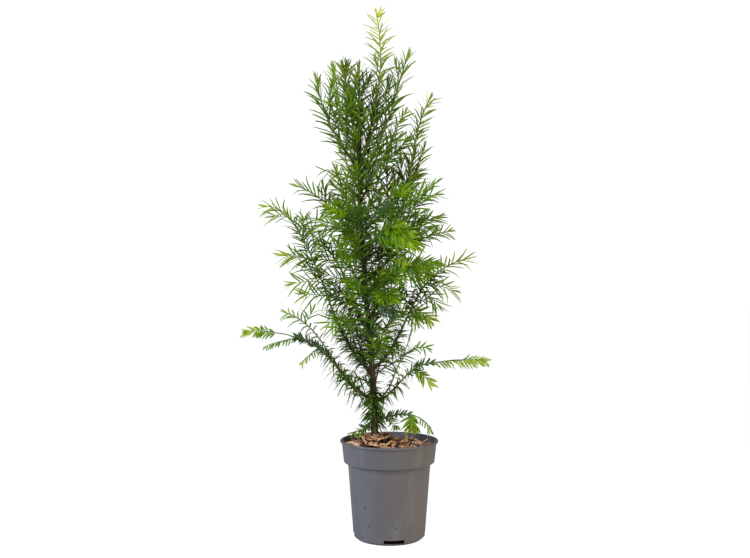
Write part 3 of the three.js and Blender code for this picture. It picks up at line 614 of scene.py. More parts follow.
def leaf_out(path, start, end, habit, needle, hue, rng):
    """Sets needles along a path between two shares of it.

    A comb alternates them left and right of the twig with a little lift; a whorl turns each one by the
    golden angle. Their angle to the twig closes with the cube of the share, and they are shorter at both
    ends.
    """
    count = int(path.length * (end - start) / (habit["gap"] * MM))
    v = (np.arange(count) + 0.5) / count
    jitter = rng.uniform(-NEEDLE["place"], NEEDLE["place"], count) / count
    point, run, side, over = path.at(np.clip(lerp(start, end, v + jitter), 0, 1))
    if habit["whorl"]:
        roll = np.radians(GOLDEN * np.arange(count) + rng.normal(0, NEEDLE["turn"], count))
        roll = roll - habit["flat"] * np.sin(2 * roll)
        side = unit(BROADSIDE - run * dot(run, BROADSIDE))
        over = np.cross(run, side)
        facing = run * NEEDLE["forward"] + outward(point)
    else:
        side, over = rolled(side, over, run, habit["roll"])
        left = np.arange(count) % 2 == 0
        lift = rng.normal(habit["lift"], NEEDLE["lift"], count)
        roll = np.radians(np.where(left, lift, 180 - lift))
        upper = over * np.cos(roll)[:, None] - side * np.sin(roll)[:, None]
        facing = np.where(left, 1, -1)[:, None] * upper
    out = unit(np.cos(roll)[:, None] * side + np.sin(roll)[:, None] * over)
    spread = np.radians(lerp(*habit["spread"], v**3) + rng.normal(0, NEEDLE["spread"], count))
    along = unit(np.cos(spread)[:, None] * run + np.sin(spread)[:, None] * out)
    face = unit(facing - along * dot(facing, along))
    twist = np.radians(habit["twist"]) * rng.uniform(-1, 1, (count, 1))
    face = face * np.cos(twist) + np.cross(along, face) * np.sin(twist)
    ending = smooth((v - NEEDLE["tip_from"]) / (1 - NEEDLE["tip_from"]))
    full = lerp(NEEDLE["root_size"], 1, smooth(v / NEEDLE["root"])) * lerp(1, habit["last"], ending)
    length = needle * MM * full * rng.uniform(*NEEDLE["length"], count)
    width = habit["broad"] * MM * rng.uniform(*NEEDLE["width"], count)
    curl = habit["curl"] * rng.uniform(*NEEDLE["curl"], (count, 1))
    bend = rng.normal(0, NEEDLE["bend"], (count, 3)) - unit(run - along * dot(run, along)) * curl
    bend[:, 2] -= habit["droop"]
    shade = lerp(*hue, smooth(v)) + rng.normal(0, NEEDLE["hue"], count)
    add_needles(point + out * NEEDLE["off"] * MM, along, face, bend, length, width, shade)


def tuft(path, habit, needle, hue, rng):
    """The young needles that close round the bud at a tip, the inner ones shorter and steeper."""
    count = habit["bud"]
    point, run, side, over = (row.repeat(count, axis=0) for row in path.at(1.0))
    share = (np.arange(count) + 0.5) / count
    roll = np.radians(GOLDEN * np.arange(count) + rng.uniform(0, 360))
    out = np.cos(roll)[:, None] * side + np.sin(roll)[:, None] * over
    lean = np.radians(lerp(*TUFT["lean"], share) + rng.normal(0, TUFT["lean_scatter"], count))
    along = unit(np.cos(lean)[:, None] * run + np.sin(lean)[:, None] * out)
    face = unit(run - along * dot(run, along) + TUFT["nudge"])
    length = needle * MM * lerp(*TUFT["length"], share)
    width = np.full(count, habit["broad"] * MM * TUFT["width"])
    base = point - run * (TUFT["back"] * MM * (1 - share))[:, None]
    shade = hue + rng.normal(0, TUFT["hue"], count)
    add_needles(base, along, face, -out * TUFT["bend"], length, width, shade)


# ---- Meshes -------------------------------------------------------------------------------------
def make_object(name, points, faces, materials, slots=None, smooth_shade=True):
    """A mesh object at the origin from arrays of points and faces."""
    mesh = bpy.data.meshes.new(name)
    mesh.from_pydata(points, [], faces)
    for material in materials:
        mesh.materials.append(material)
    if slots is not None:
        mesh.polygons.foreach_set("material_index", np.asarray(slots, dtype=np.int32))
    mesh.polygons.foreach_set("use_smooth", np.full(len(mesh.polygons), smooth_shade))
    mesh.update()
    piece = bpy.data.objects.new(name, mesh)
    bpy.context.scene.collection.objects.link(piece)
    return piece


def ring_faces(rings, sides):
    """Quads between consecutive rings of points, facing out."""
    i, j = np.meshgrid(np.arange(rings - 1), np.arange(sides), indexing="ij")
    a = i * sides + j
    b = i * sides + (j + 1) % sides
    return np.stack([a, b, b + sides, a + sides], axis=-1).reshape(-1, 4)


def pole_faces(rings, sides):
    """Triangles from the first and from the last ring to the two points that follow all the rings."""
    near = np.arange(sides)
    after = (near + 1) % sides
    last = (rings - 1) * sides
    pole = rings * sides
    low = np.stack([np.full(sides, pole), after, near], axis=1)
    high = np.stack([np.full(sides, pole + 1), last + near, last + after], axis=1)
    return low, high


def turned_piece(name, rings, poles, material):
    """Rings of points one over the other, closed by a point on the axis at each end."""
    count, sides = rings.shape[:2]
    low, high = pole_faces(count, sides)
    ends = np.stack([low, high], axis=1).reshape(-1, 3)
    points = np.vstack([rings.reshape(-1, 3), poles])
    return make_object(name, points, ring_faces(count, sides).tolist() + ends.tolist(), [material])


def capped_faces(rings, sides):
    """Quads between rings of points, and one flat face on the first and on the last ring."""
    last = (rings - 1) * sides
    ends = [list(range(sides))[::-1], list(range(last, last + sides))]
    return ring_faces(rings, sides).tolist() + ends


NEEDLE_STATIONS = np.array([0.0, 0.10, 0.40, 0.72, 0.93])
NEEDLE_WIDTHS = np.array([0.34, 0.86, 1.0, 0.80, 0.40])
NEEDLE_KEEL = 0.24  # how far the midrib stands above the margins, as a share of the half width
NEEDLE_BELLY = 0.16  # how far the underside hangs below them


def needle_piece(name, rows, materials):
    """Flat keeled needles: rings of margin, midrib, margin and underside along a bent line to a point.

    The line is base + length (along t + bend t²), and each ring's half width follows NEEDLE_WIDTHS.
    """
    count = len(rows)
    base, along, face, bend = rows[:, 0:3], rows[:, 3:6], rows[:, 6:9], rows[:, 9:12]
    length, half = rows[:, 12, None], rows[:, 13, None] / 2
    across = np.cross(along, face)
    stations = len(NEEDLE_STATIONS)
    points = np.empty((count, stations * 4 + 1, 3))
    for k, (t, w) in enumerate(zip(NEEDLE_STATIONS, NEEDLE_WIDTHS)):
        middle = base + length * (along * t + bend * t * t)
        reach = half * w
        points[:, 4 * k + 0] = middle - across * reach
        points[:, 4 * k + 1] = middle + face * reach * NEEDLE_KEEL
        points[:, 4 * k + 2] = middle + across * reach
        points[:, 4 * k + 3] = middle - face * reach * NEEDLE_BELLY
    points[:, -1] = base + length * (along + bend)
    root_face = [[3, 2, 1, 0]]
    quads = np.vstack([ring_faces(stations, 4), root_face])
    last = (stations - 1) * 4
    tips = np.array([[last + j, last + (j + 1) % 4, last + 4] for j in range(4)])
    offsets = np.arange(count)[:, None, None] * (stations * 4 + 1)
    faces = (quads[None] + offsets).reshape(-1, 4).tolist() + (tips[None] + offsets).reshape(-1, 3).tolist()
    side_slots = np.array([0, 0, 1, 1])  # the two upper faces of each ring, then the two under ones
    quad_slots = np.append(np.tile(side_slots, stations - 1), 1)
    slots = np.concatenate([np.tile(quad_slots, count), np.tile(side_slots, count)])
    return make_object(name, points.reshape(-1, 3), faces, materials, slots, smooth_shade=False)


ROOT_CAP = 0.4  # how far a tube's root bulges, as a share of its radius


class Tubes:
    """Twigs waiting to be joined into one mesh."""

    def __init__(self):
        """No tubes yet; count is how many points they have."""
        self.points = []
        self.quads = []
        self.ends = []
        self.count = 0

    def add(self, path, radius, sides, steps, relief=None):
        """A round tube along a path, closed by a point at each end; radius is a function of the share."""
        u = np.linspace(0, 1, steps)
        middle, run, side, over = path.at(u)
        angle = circle(sides)
        reach = radius(u)[:, None]
        if relief is not None:
            reach = reach * (1 + relief(angle[None, :], (u * path.length)[:, None]))
        ring = (
            middle[:, None]
            + (np.cos(angle)[None, :] * reach)[..., None] * side[:, None]
            + (np.sin(angle)[None, :] * reach)[..., None] * over[:, None]
        )
        root = middle[0] - run[0] * reach[0].mean() * ROOT_CAP
        tip = middle[-1] + run[-1] * reach[-1].mean()
        self.points.append(np.vstack([ring.reshape(-1, 3), root, tip]))
        self.quads.append(ring_faces(steps, sides) + self.count)
        self.ends.append(np.vstack(pole_faces(steps, sides)) + self.count)
        self.count += steps * sides + 2

    def piece(self, name, material):
        """All the tubes as one object."""
        faces = np.vstack(self.quads).tolist() + np.vstack(self.ends).tolist()
        return make_object(name, np.vstack(self.points), faces, [material])


boughs = Tubes()
brown_twigs = Tubes()
green_twigs = Tubes()
lime_twigs = Tubes()

BARK_TURNS = np.array([3, 5, 7, 11])
BARK_RATES = (60, 420)
BARK_DEPTH = 0.07
BARK_FADE = 1.5  # each further wave is divided by this and its number


def bark_relief(rng):
    """Low ridges along a limb and rings across it: sines in the angle and the length, seam closed."""
    rates = rng.uniform(*BARK_RATES, len(BARK_TURNS))
    phases = rng.uniform(0, 2 * math.pi, len(BARK_TURNS))

    def relief(angle, along):
        """Each wave is a sine of turns times the angle plus rate times the length, and a phase."""
        waves = [
            np.sin(turns * angle + rate * along + phase) / (k + BARK_FADE)
            for k, (turns, rate, phase) in enumerate(zip(BARK_TURNS, rates, phases))
        ]
        return BARK_DEPTH * sum(waves)

    return relief


# ---- The crown ----------------------------------------------------------------------------------
THICK = 3.0  # a main shoot's root, where its row doesn't say
# A main shoot's wood: its tip's radius, the power its taper follows, its sway, how finely it is modelled,
# and how far the brown part runs into the green one.
LIMB = dict(tip=0.9, taper=0.8, sway=1.2, sides=12, young_sides=8, step=3, least_steps=12, overlap=0.01)
GREEN_FROM = 2.6  # side shoots whose tip is at least this hue have a green skin
LIME_FROM = 6  # main shoots whose newest needles are past this hue have a lime one
COVER = dict(first=0.07, thinnest=3.3, hue=(1.2, 1.7))  # short needles that hide the brown wood of a bough
# A side twig: the radius of its tip and of the root of one `full` long, the least root as a multiple of the
# tip, how finely it is modelled, its sway, the range of its needles' size and the share that stays bare.
TWIG = dict(
    tip=0.45, root=1.15, full=70, least_root=1.3, sides=6, step=7, least_steps=5, sway=4, size=(0.88, 1.0),
    bare=0.04,
)


def clothed_twig(start, heading, length, rise, habit, hue, rng):
    """A twig grown from a point and set with needles; new growth keeps a green skin."""
    path = grow(start, heading, 0, length, rise, 0.0, rng, TWIG["sway"])
    thick = lerp(TWIG["tip"] * TWIG["least_root"], TWIG["root"], min(1, length / TWIG["full"])) * MM
    tubes = brown_twigs if hue[1] < GREEN_FROM else green_twigs
    steps = max(TWIG["least_steps"], int(length / TWIG["step"]))
    tubes.add(path, lambda u: lerp(thick, TWIG["tip"] * MM, u), TWIG["sides"], steps)
    needle = habit["needle"] * rng.uniform(*TWIG["size"])
    leaf_out(path, habit.get("first", TWIG["bare"]), 1, habit, needle, hue, rng)
    tuft(path, habit, needle, hue[1], rng)
    return path


# Side shoots by rule. `angle` is theirs to the parent, times `whorled` where they turn round it, `longest`
# and `shortest` their lengths, at most a share `most` of the parent's, and they stand between the shares
# `first` past the bare stretch and `last`. `place` and `size` are ranges, `angle` and `roll` scatters.
SIDE = dict(angle=46, whorled=0.8, longest=68, shortest=26, most=0.42, first=0.04, last=0.86)
SIDE_SCATTER = dict(place=(0.2, 0.8), size=(0.7, 1.12), angle=6, roll=60)
SIDE_RISE = dict(steepest=88, climb=14, droop=12)
SIDE_HUE = dict(root=0.1, tip=0.5, mean=0.25, scatter=0.3)
# The smaller twigs that a side shoot longer than `over` carries: how many, where, how long and their angle.
SMALL = dict(over=50, count=2, first=0.35, step=0.22, size=(0.3, 0.45), angle=(36, 50))


def side_shoot(parent, share, angle, length, habit, hue, rng, roll=0.0, depth=1):
    """A twig that leaves its parent at an angle, clothed like it, with smaller twigs of its own.

    It starts in the direction cos(angle) run + sin(angle) out, where out is the parent's side turned by
    the roll, and the other side for an angle below nothing.
    """
    point, run, side, over = (row[0] for row in parent.at(share))
    out = math.cos(roll) * side + math.sin(roll) * over
    lean = math.radians(angle)
    way = unit(math.cos(lean) * run + math.sin(lean) * out)
    heading = math.degrees(math.atan2(way[1], way[0]))
    slope = math.degrees(math.asin(np.clip(way[2], -1, 1)))
    tip_slope = slope - SIDE_RISE["droop"]
    if habit["whorl"]:
        tip_slope = min(SIDE_RISE["steepest"], slope + SIDE_RISE["climb"])
    path = clothed_twig(point, heading, length, (slope, tip_slope), habit, hue, rng)
    if depth and length > SMALL["over"]:
        for k in range(SMALL["count"]):
            small = length * rng.uniform(*SMALL["size"])
            sign = 1 if (k + int(length)) % 2 else -1
            place = SMALL["first"] + SMALL["step"] * k
            side_shoot(path, place, sign * rng.uniform(*SMALL["angle"]), small, habit, hue, rng, depth=0)


def grow_brood(path, shoot, habit, rng):
    """Side shoots by rule: one every so many millimetres, turning about, shorter towards the tip."""
    first = shoot["bare"] + SIDE["first"]
    count = int(path.length / MM * (SIDE["last"] - first) / shoot["brood"])
    longest = min(SIDE["longest"], SIDE["most"] * path.length / MM)
    for k in range(count):
        u = lerp(first, SIDE["last"], (k + rng.uniform(*SIDE_SCATTER["place"])) / count)
        length = lerp(longest, SIDE["shortest"], u) * rng.uniform(*SIDE_SCATTER["size"])
        tone = lerp(*shoot["hue"], smooth(u))
        newest = tone + SIDE_HUE["tip"] + rng.normal(SIDE_HUE["mean"], SIDE_HUE["scatter"])
        hue = (tone + SIDE_HUE["root"], newest)
        angle = SIDE["angle"] + rng.normal(0, SIDE_SCATTER["angle"])
        if habit["whorl"]:
            roll = math.radians(GOLDEN * k + rng.uniform(0, SIDE_SCATTER["roll"]))
            side_shoot(path, u, angle * SIDE["whorled"], length, habit, hue, rng, roll=roll)
        else:
            side_shoot(path, u, angle if k % 2 else -angle, length, habit, hue, rng)


def make_shoot(index, shoot):
    """One shoot from the trunk: its limb, its needles and its side shoots."""
    rng = np.random.default_rng(SEEDS["shoot"] + SEEDS["shoot_step"] * index)
    habit = HABITS[shoot["habit"]]
    own = (shoot.get("bare"), 1, shoot["habit"], habit["needle"], shoot.get("hue"))
    leaves = shoot.get("leaves", [own])
    thick = shoot.get("thick", THICK)
    wood = habit["wood"]
    path = grow(
        trunk_point(shoot["at"]), shoot["heading"], shoot["turn"], shoot["length"], shoot["rise"],
        shoot.get("belly", 0), rng, LIMB["sway"],
    )

    def radius(u):
        """The limb's radius, from root to tip by a power of the share."""
        return lerp(thick / 2 * MM, LIMB["tip"] * MM, u ** LIMB["taper"])

    steps = max(LIMB["least_steps"], int(shoot["length"] / LIMB["step"]))
    limb = path.part(0, wood + LIMB["overlap"])
    boughs.add(limb, lambda u: radius(u * wood), LIMB["sides"], steps, bark_relief(rng))
    young = lime_twigs if leaves[-1][4][1] > LIME_FROM else green_twigs
    young.add(path.part(wood, 1), lambda u: radius(lerp(wood, 1, u)), LIMB["young_sides"], steps // 2)
    if thick > COVER["thinnest"] and shoot["habit"] not in ("leader", "old"):
        leaf_out(path, COVER["first"], wood, HABITS["cover"], HABITS["cover"]["needle"], COVER["hue"], rng)
    for first, last, kind, needle, hue in leaves:
        leaf_out(path, first, last, HABITS[kind], needle, hue, rng)
    tuft(path, HABITS[kind], needle, hue[1], rng)
    for share, heading, length, low, high, kind, inner, outer in shoot.get("twigs", []):
        root = path.at(share)[0][0]
        clothed_twig(root, heading, length, (low, high), HABITS[kind], (inner, outer), rng)
    if "brood" in shoot:
        grow_brood(path, shoot, habit, rng)


# Short shoots that fill the crown round the trunk, between the lowest and highest point given: longest and
# shortest, rise at the bottom and the top, the range or scatter of place, size, slope, heading and hue, how
# much newer their tips are, and the share of the height from which they are upright.
INNER = dict(
    count=34, low=255, high=672, length=(82, 52), rise=(34, 62), place=0.8, size=(0.8, 1.1), slope=6,
    climb=4, heading=12, sway=4, hue=(2.0, 0.4), newer=1.2, upright_from=0.55, bare=0.06,
)
INNER_STEM = dict(root=1.2, tip=0.5, sides=8, steps=20)


def inner_radius(u):
    """An inner shoot's radius: an even taper."""
    return lerp(INNER_STEM["root"], INNER_STEM["tip"], u) * MM


def inner_shoots():
    """Short shoots straight from the trunk, turning round it by the golden angle as they climb."""
    for k in range(INNER["count"]):
        rng = np.random.default_rng(SEEDS["inner"] + k)
        up = (k + rng.uniform(0, INNER["place"])) / INNER["count"]
        start = trunk_point(lerp(INNER["low"], INNER["high"], up))
        length = lerp(*INNER["length"], up) * rng.uniform(*INNER["size"])
        slope = lerp(*INNER["rise"], up) + rng.normal(0, INNER["slope"])
        heading = GOLDEN * k + rng.normal(0, INNER["heading"])
        path = grow(start, heading, 0, length, (slope, slope + INNER["climb"]), 0, rng, INNER["sway"])
        oldest = rng.normal(*INNER["hue"])
        newest = oldest + INNER["newer"]
        habit = HABITS["rosette" if up < INNER["upright_from"] else "upright"]
        brown_twigs.add(path, inner_radius, INNER_STEM["sides"], INNER_STEM["steps"])
        leaf_out(path, INNER["bare"], 1, habit, habit["needle"], (oldest, newest), rng)
        tuft(path, habit, habit["needle"], newest, rng)


def clothe_trunk():
    """Needles that grow on the trunk itself, turning round it by the golden angle."""
    points = 24
    for k, stretch in enumerate(TRUNK_NEEDLES):
        rng = np.random.default_rng(SEEDS["trunk"] + k)
        heights = np.linspace(stretch["low"], stretch["high"], points) * MM
        path = Path(trunk_axis(heights), np.zeros(points))
        habit = dict(HABITS["leader"], gap=stretch["gap"], spread=stretch["spread"], curl=stretch["curl"])
        leaf_out(path, 0, 1, habit, stretch["needle"], stretch["hue"], rng)
    tuft(path, habit, stretch["needle"], stretch["hue"][1], rng)


# ---- Stem ---------------------------------------------------------------------------------------
STEM = dict(rows=620, sides=44, sunk=1.5 * MM)
# The stem's ridges: how many round it, how fast each winds up it in radians a metre, and its depth. The
# waves whose product makes its flakes are given in the same way, with a phase instead of the depth.
STEM_RIDGES = [(4, 45, 0.05), (7, 70, 0.045), (11, 130, 0.035), (15, -210, 0.025), (6, 420, 0.02)]
FLAKE_WAVES = [(9, 300, 2), (5, -170, 0)]
FLAKE = dict(least=0.35, depth=0.1)
SWELL = dict(height=6 * MM, depth=0.16)


def stem_piece(material):
    """The trunk: a tapering tube with lengthwise ridges, low flakes and a swelling under each bough.

    Ridges are sines of the angle and the height, flakes the high parts of a product of two such sines,
    and a swelling is the bough's direction squared times a bell curve in the height.
    """
    rng = np.random.default_rng(SEEDS["stem"])
    height = np.linspace(TRUNK["foot"][2] - STEM["sunk"], TRUNK["tip"], STEM["rows"])
    z, a = height[:, None], circle(STEM["sides"])[None, :]
    relief = 0
    for turns, rate, size in STEM_RIDGES:
        relief = relief + size * np.sin(turns * a + rate * z + rng.uniform(0, PHASES))
    product = math.prod(np.sin(turns * a + rate * z + phase) for turns, rate, phase in FLAKE_WAVES)
    flakes = np.clip(product, FLAKE["least"], 1) - FLAKE["least"]
    swell = 0
    for shoot in SHOOTS.values():
        toward = np.cos(a - math.radians(shoot["heading"]))
        below = (z - shoot["at"] * MM) / SWELL["height"]
        swell = swell + SWELL["depth"] * np.clip(toward, 0, 1) ** 2 * np.exp(-below * below)
    reach = trunk_radius(height)[:, None] * (1 + relief + FLAKE["depth"] * flakes + swell)
    middle = trunk_axis(height)
    points = middle[:, None, :] + np.stack([np.cos(a) * reach, np.sin(a) * reach, 0 * reach], axis=-1)
    return make_object("stem", points.reshape(-1, 3), capped_faces(STEM["rows"], STEM["sides"]), [material])


STUB = dict(at=279, heading=-20, length=8.5, rise=(12, 20), radius=1.7, sides=14, steps=6)


def stub_piece(bark, cut):
    """A short pruned stub: an even tube whose end fans have the pale cut face's finish."""
    path = grow(trunk_point(STUB["at"]), STUB["heading"], 0, STUB["length"], STUB["rise"])
    tubes = Tubes()
    tubes.add(path, lambda u: np.full_like(u, STUB["radius"] * MM), STUB["sides"], STUB["steps"])
    stub = tubes.piece("pruned_stub", bark)
    stub.data.materials.append(cut)
    is_end = [len(face.vertices) == 3 for face in stub.data.polygons]
    stub.data.polygons.foreach_set("material_index", np.array(is_end, dtype=np.int32))
    return stub


# ---- Pot ----------------------------------------------------------------------------------------
def pot_inside(z):
    """The inner wall's radius at a height: an even taper in the collar and another in the body."""
    low, high = POT["corner"], COLLAR_FOOT
    outside = lerp(POT["body_foot"], POT["body_top"], (z - low) / (high - low))
    if z > COLLAR_FOOT:
        outside = lerp(POT["collar_foot"], POT["collar_top"], (z - COLLAR_FOOT) / COLLAR_HEIGHT)
    return outside - POT["wall"]


def arc(centre, radius, first, last, count):
    """Points on part of a circle in the profile's plane."""
    turn = np.radians(np.linspace(first, last, count))
    return np.stack([centre[0] + radius * np.cos(turn), centre[1] + radius * np.sin(turn)], axis=1)


def pot_profile():
    """Half a section of the pot, from the middle of its foot up outside, over the lip and down inside.

    Straight walls join arcs at the foot, the step under the collar, the neck, the lip and its inner edge.
    """
    corner = POT["corner"]
    foot_round = corner * POT["corner_round"]
    step, neck, lip, inner = (POT[edge + "_round"] for edge in ("step", "neck", "lip", "inner"))
    waist_in, waist_low, waist_high = POT["waist"]
    waist = POT["body_top"]
    lip_low = POT_HEIGHT - POT["lip_height"]
    body_z = np.append(DRAIN["high"] + POT["body_rings"], COLLAR_FOOT / 2)
    body_share = (body_z - corner) / (COLLAR_FOOT - corner)
    outside = [
        [[0, 0], [POT["foot"] - POT["foot_ring"], 0], [POT["foot"] - POT["foot_edge"], 0]],
        arc((POT["body_foot"] - foot_round, corner), foot_round, -75, 0, 7),
        np.stack([lerp(POT["body_foot"], waist, body_share), body_z], axis=1),
        [[waist - waist_in, COLLAR_FOOT - waist_low], [waist, COLLAR_FOOT - waist_high]],
        arc((waist + step, COLLAR_FOOT - step), step, 180, 90, 4),
        arc((POT["collar_foot"] - step, COLLAR_FOOT + step), step, -90, 0, 5),
        [[POT["collar_top"], lip_low - neck]],
        arc((POT["collar_top"] + neck, lip_low - neck), neck, 180, 90, 4),
        arc((RIM - lip, lip_low + lip), lip, -90, 0, 5),
        arc((RIM - lip, POT_HEIGHT - lip), lip, 0, 90, 5),
        arc((POT["collar_top"] - POT["wall"] + inner, POT_HEIGHT - inner), inner, 90, 180, 5),
    ]
    inside = [
        [pot_inside(LEDGE + step), LEDGE],
        [pot_inside(COLLAR_FOOT - JUST_BELOW), LEDGE],
        [pot_inside(corner), corner],
        [POT["foot"] - POT["inner_foot"], POT["floor"]],
        [0, POT["floor"]],
    ]
    return np.vstack(outside + [inside])


def pot_piece(material):
    """The pot: its profile turned about Z, a little oval, with drain slots cut through its foot."""
    profile = pot_profile()
    body = profile[1:-1]
    angle = circle(POT["segments"])[None, :]
    z = body[:, 1][:, None] + 0 * angle
    oval = POT["oval"] * MM * np.sin(2 * angle + POT["oval_turn"]) * smooth(z / POT_HEIGHT)
    radius = body[:, 0][:, None] + oval
    rings = np.stack([radius * np.cos(angle), radius * np.sin(angle), z], axis=-1)
    pot = turned_piece("nursery_pot", rings, [[0, 0, profile[0, 1]], [0, 0, profile[-1, 1]]], material)
    cutters = []
    for k in range(DRAIN["count"]):
        cutter = slot_cutter(math.radians(DRAIN["first"] + 360 / DRAIN["count"] * k))
        cut = pot.modifiers.new("slot", "BOOLEAN")
        cut.operation = "DIFFERENCE"
        cut.solver = "EXACT"
        cut.object = cutter
        cutters.append(cutter)
    bpy.context.view_layer.update()
    done = bpy.data.meshes.new_from_object(pot.evaluated_get(bpy.context.evaluated_depsgraph_get()))
    pot.modifiers.clear()
    pot.data = done
    for cutter in cutters:
        bpy.data.objects.remove(cutter)
    return pot


def slot_cutter(turn):
    """A flat bar with rounded edges, lying across the corner of the pot's foot at an angle."""
    wide = DRAIN["width"] / 2 - DRAIN["corner"]
    low, high = DRAIN["low"] + DRAIN["corner"], DRAIN["high"] - DRAIN["corner"]
    section = np.vstack([
        arc((y, z), DRAIN["corner"], first, first + 90, 4)
        for y, z, first in ((wide, low, -90), (wide, high, 0), (-wide, high, 90), (-wide, low, 180))
    ])
    rings = []
    for reach in (POT["foot"] - DRAIN["depth"] / 2, POT["foot"] + DRAIN["depth"]):
        x = reach * math.cos(turn) - section[:, 0] * math.sin(turn)
        y = reach * math.sin(turn) + section[:, 0] * math.cos(turn)
        rings.append(np.stack([x, y, section[:, 1]], axis=1))
    return make_object("cutter", np.vstack(rings), capped_faces(2, len(section)), [])


# ---- Mulch --------------------------------------------------------------------------------------
# The mulch's low lumps: height, size along and across, and how far from the stem they are full.
LUMP = dict(height=0.9 * MM, along=7 * MM, across=9 * MM, from_stem=20 * MM)
# The mix below the chips: how finely it is modelled, its drop below them and its clearance to the pot, how
# far its foot lies in, where its side's rings lie over the slots, the ledge and below the edge, and the
# size of its grit.
BED = dict(
    segments=96, rings=30, drop=3.5 * MM, clear=0.5 * MM, foot=6 * MM, low=2 * MM, waist=10 * MM,
    ledge=0.4 * MM, edge=2 * MM, grit=0.5 * MM,
)
GRIT_RATES = (1900, 700, 2100, 400)  # how fast the grit's waves run along x and y, in radians a metre


def mix_top(x, y):
    """The mulch's height: a mound up to the stem on a level edge, with low lumps."""
    away = np.hypot(x - TRUNK["foot"][0], y - TRUNK["foot"][1])
    rise = 1 - smooth((away - MIX["footing_radius"]) / (MIX["mound_radius"] - MIX["footing_radius"]))
    waves = LUMP["height"] * np.sin(x / LUMP["along"]) * np.cos(y / LUMP["across"])
    return lerp(MIX["edge"], MIX["footing"], rise) + waves * smooth(away / LUMP["from_stem"])


def bed_piece(material):
    """The mix below the chips: a closed solid inside the pot, its top a grid of rings over the mound.

    The top is the mulch's height less a drop, plus grit: a sine times a cosine of slanting sums of x and y.
    """
    clear = BED["clear"]
    foot, waist = POT["foot"] - BED["foot"], DRAIN["high"] + BED["waist"]
    wall = [
        (foot, POT["floor"] + clear),
        (foot, DRAIN["high"] + BED["low"]),
        (pot_inside(waist) - clear, waist),
        (pot_inside(COLLAR_FOOT - JUST_BELOW) - clear, LEDGE + BED["ledge"]),
        (pot_inside(MIX["edge"]) - clear, MIX["edge"] - BED["edge"]),
    ]
    angle = circle(BED["segments"])
    along, aslant, across, askew = GRIT_RATES
    rings = [np.stack([r * np.cos(angle), r * np.sin(angle), z + 0 * angle], axis=1) for r, z in wall]
    for k in range(BED["rings"]):
        radius = wall[-1][0] * (1 - k / BED["rings"])
        x, y = radius * np.cos(angle), radius * np.sin(angle)
        grit = BED["grit"] * np.sin(x * along + 3 * y * aslant) * np.cos(y * across + x * askew)
        rings.append(np.stack([x, y, mix_top(x, y) - BED["drop"] + grit], axis=1))
    poles = [[0, 0, wall[0][1]], [0, 0, mix_top(0.0, 0.0) - BED["drop"]]]
    return turned_piece("mulch_bed", np.stack(rings), poles, material)


# Bark chips by colour: the share of them and the colour.
CHIP_KINDS = [
    ("tan", 0.32, (0.50, 0.28, 0.13)),
    ("rose", 0.24, (0.72, 0.47, 0.31)),
    ("brown", 0.26, (0.22, 0.10, 0.045)),
    ("dark", 0.18, (0.055, 0.028, 0.018)),
]
# A chip is `long` on average, in a spread that `spread` narrows; `width` is its share of that between the
# two `widths`. `height` is the range of how far it lies over the mulch, `pitch` and `tip` the scatter of
# its tilt, `uneven` and `ridge` how its outline and its faces vary, and `layers` its levels: height as a
# share of the thickness, then size. `from_wall`, `from_stem` and `clear` are the room it leaves.
CHIP = dict(
    count=620, corners=7, from_wall=4.5 * MM, from_stem=8.5 * MM, clear=0.6 * MM, long=14.5, spread=5,
    width=(0.18, 0.5), widths=(2.4 * MM, 8 * MM), thick=(0.9, 2.6), height=(-2.4, 2.8), pitch=0.3, tip=0.25,
    uneven=(0.72, 1.12), ridge=0.18, layers=((-0.5, 0.9), (0.1, 1.0), (0.5, 0.82)),
)


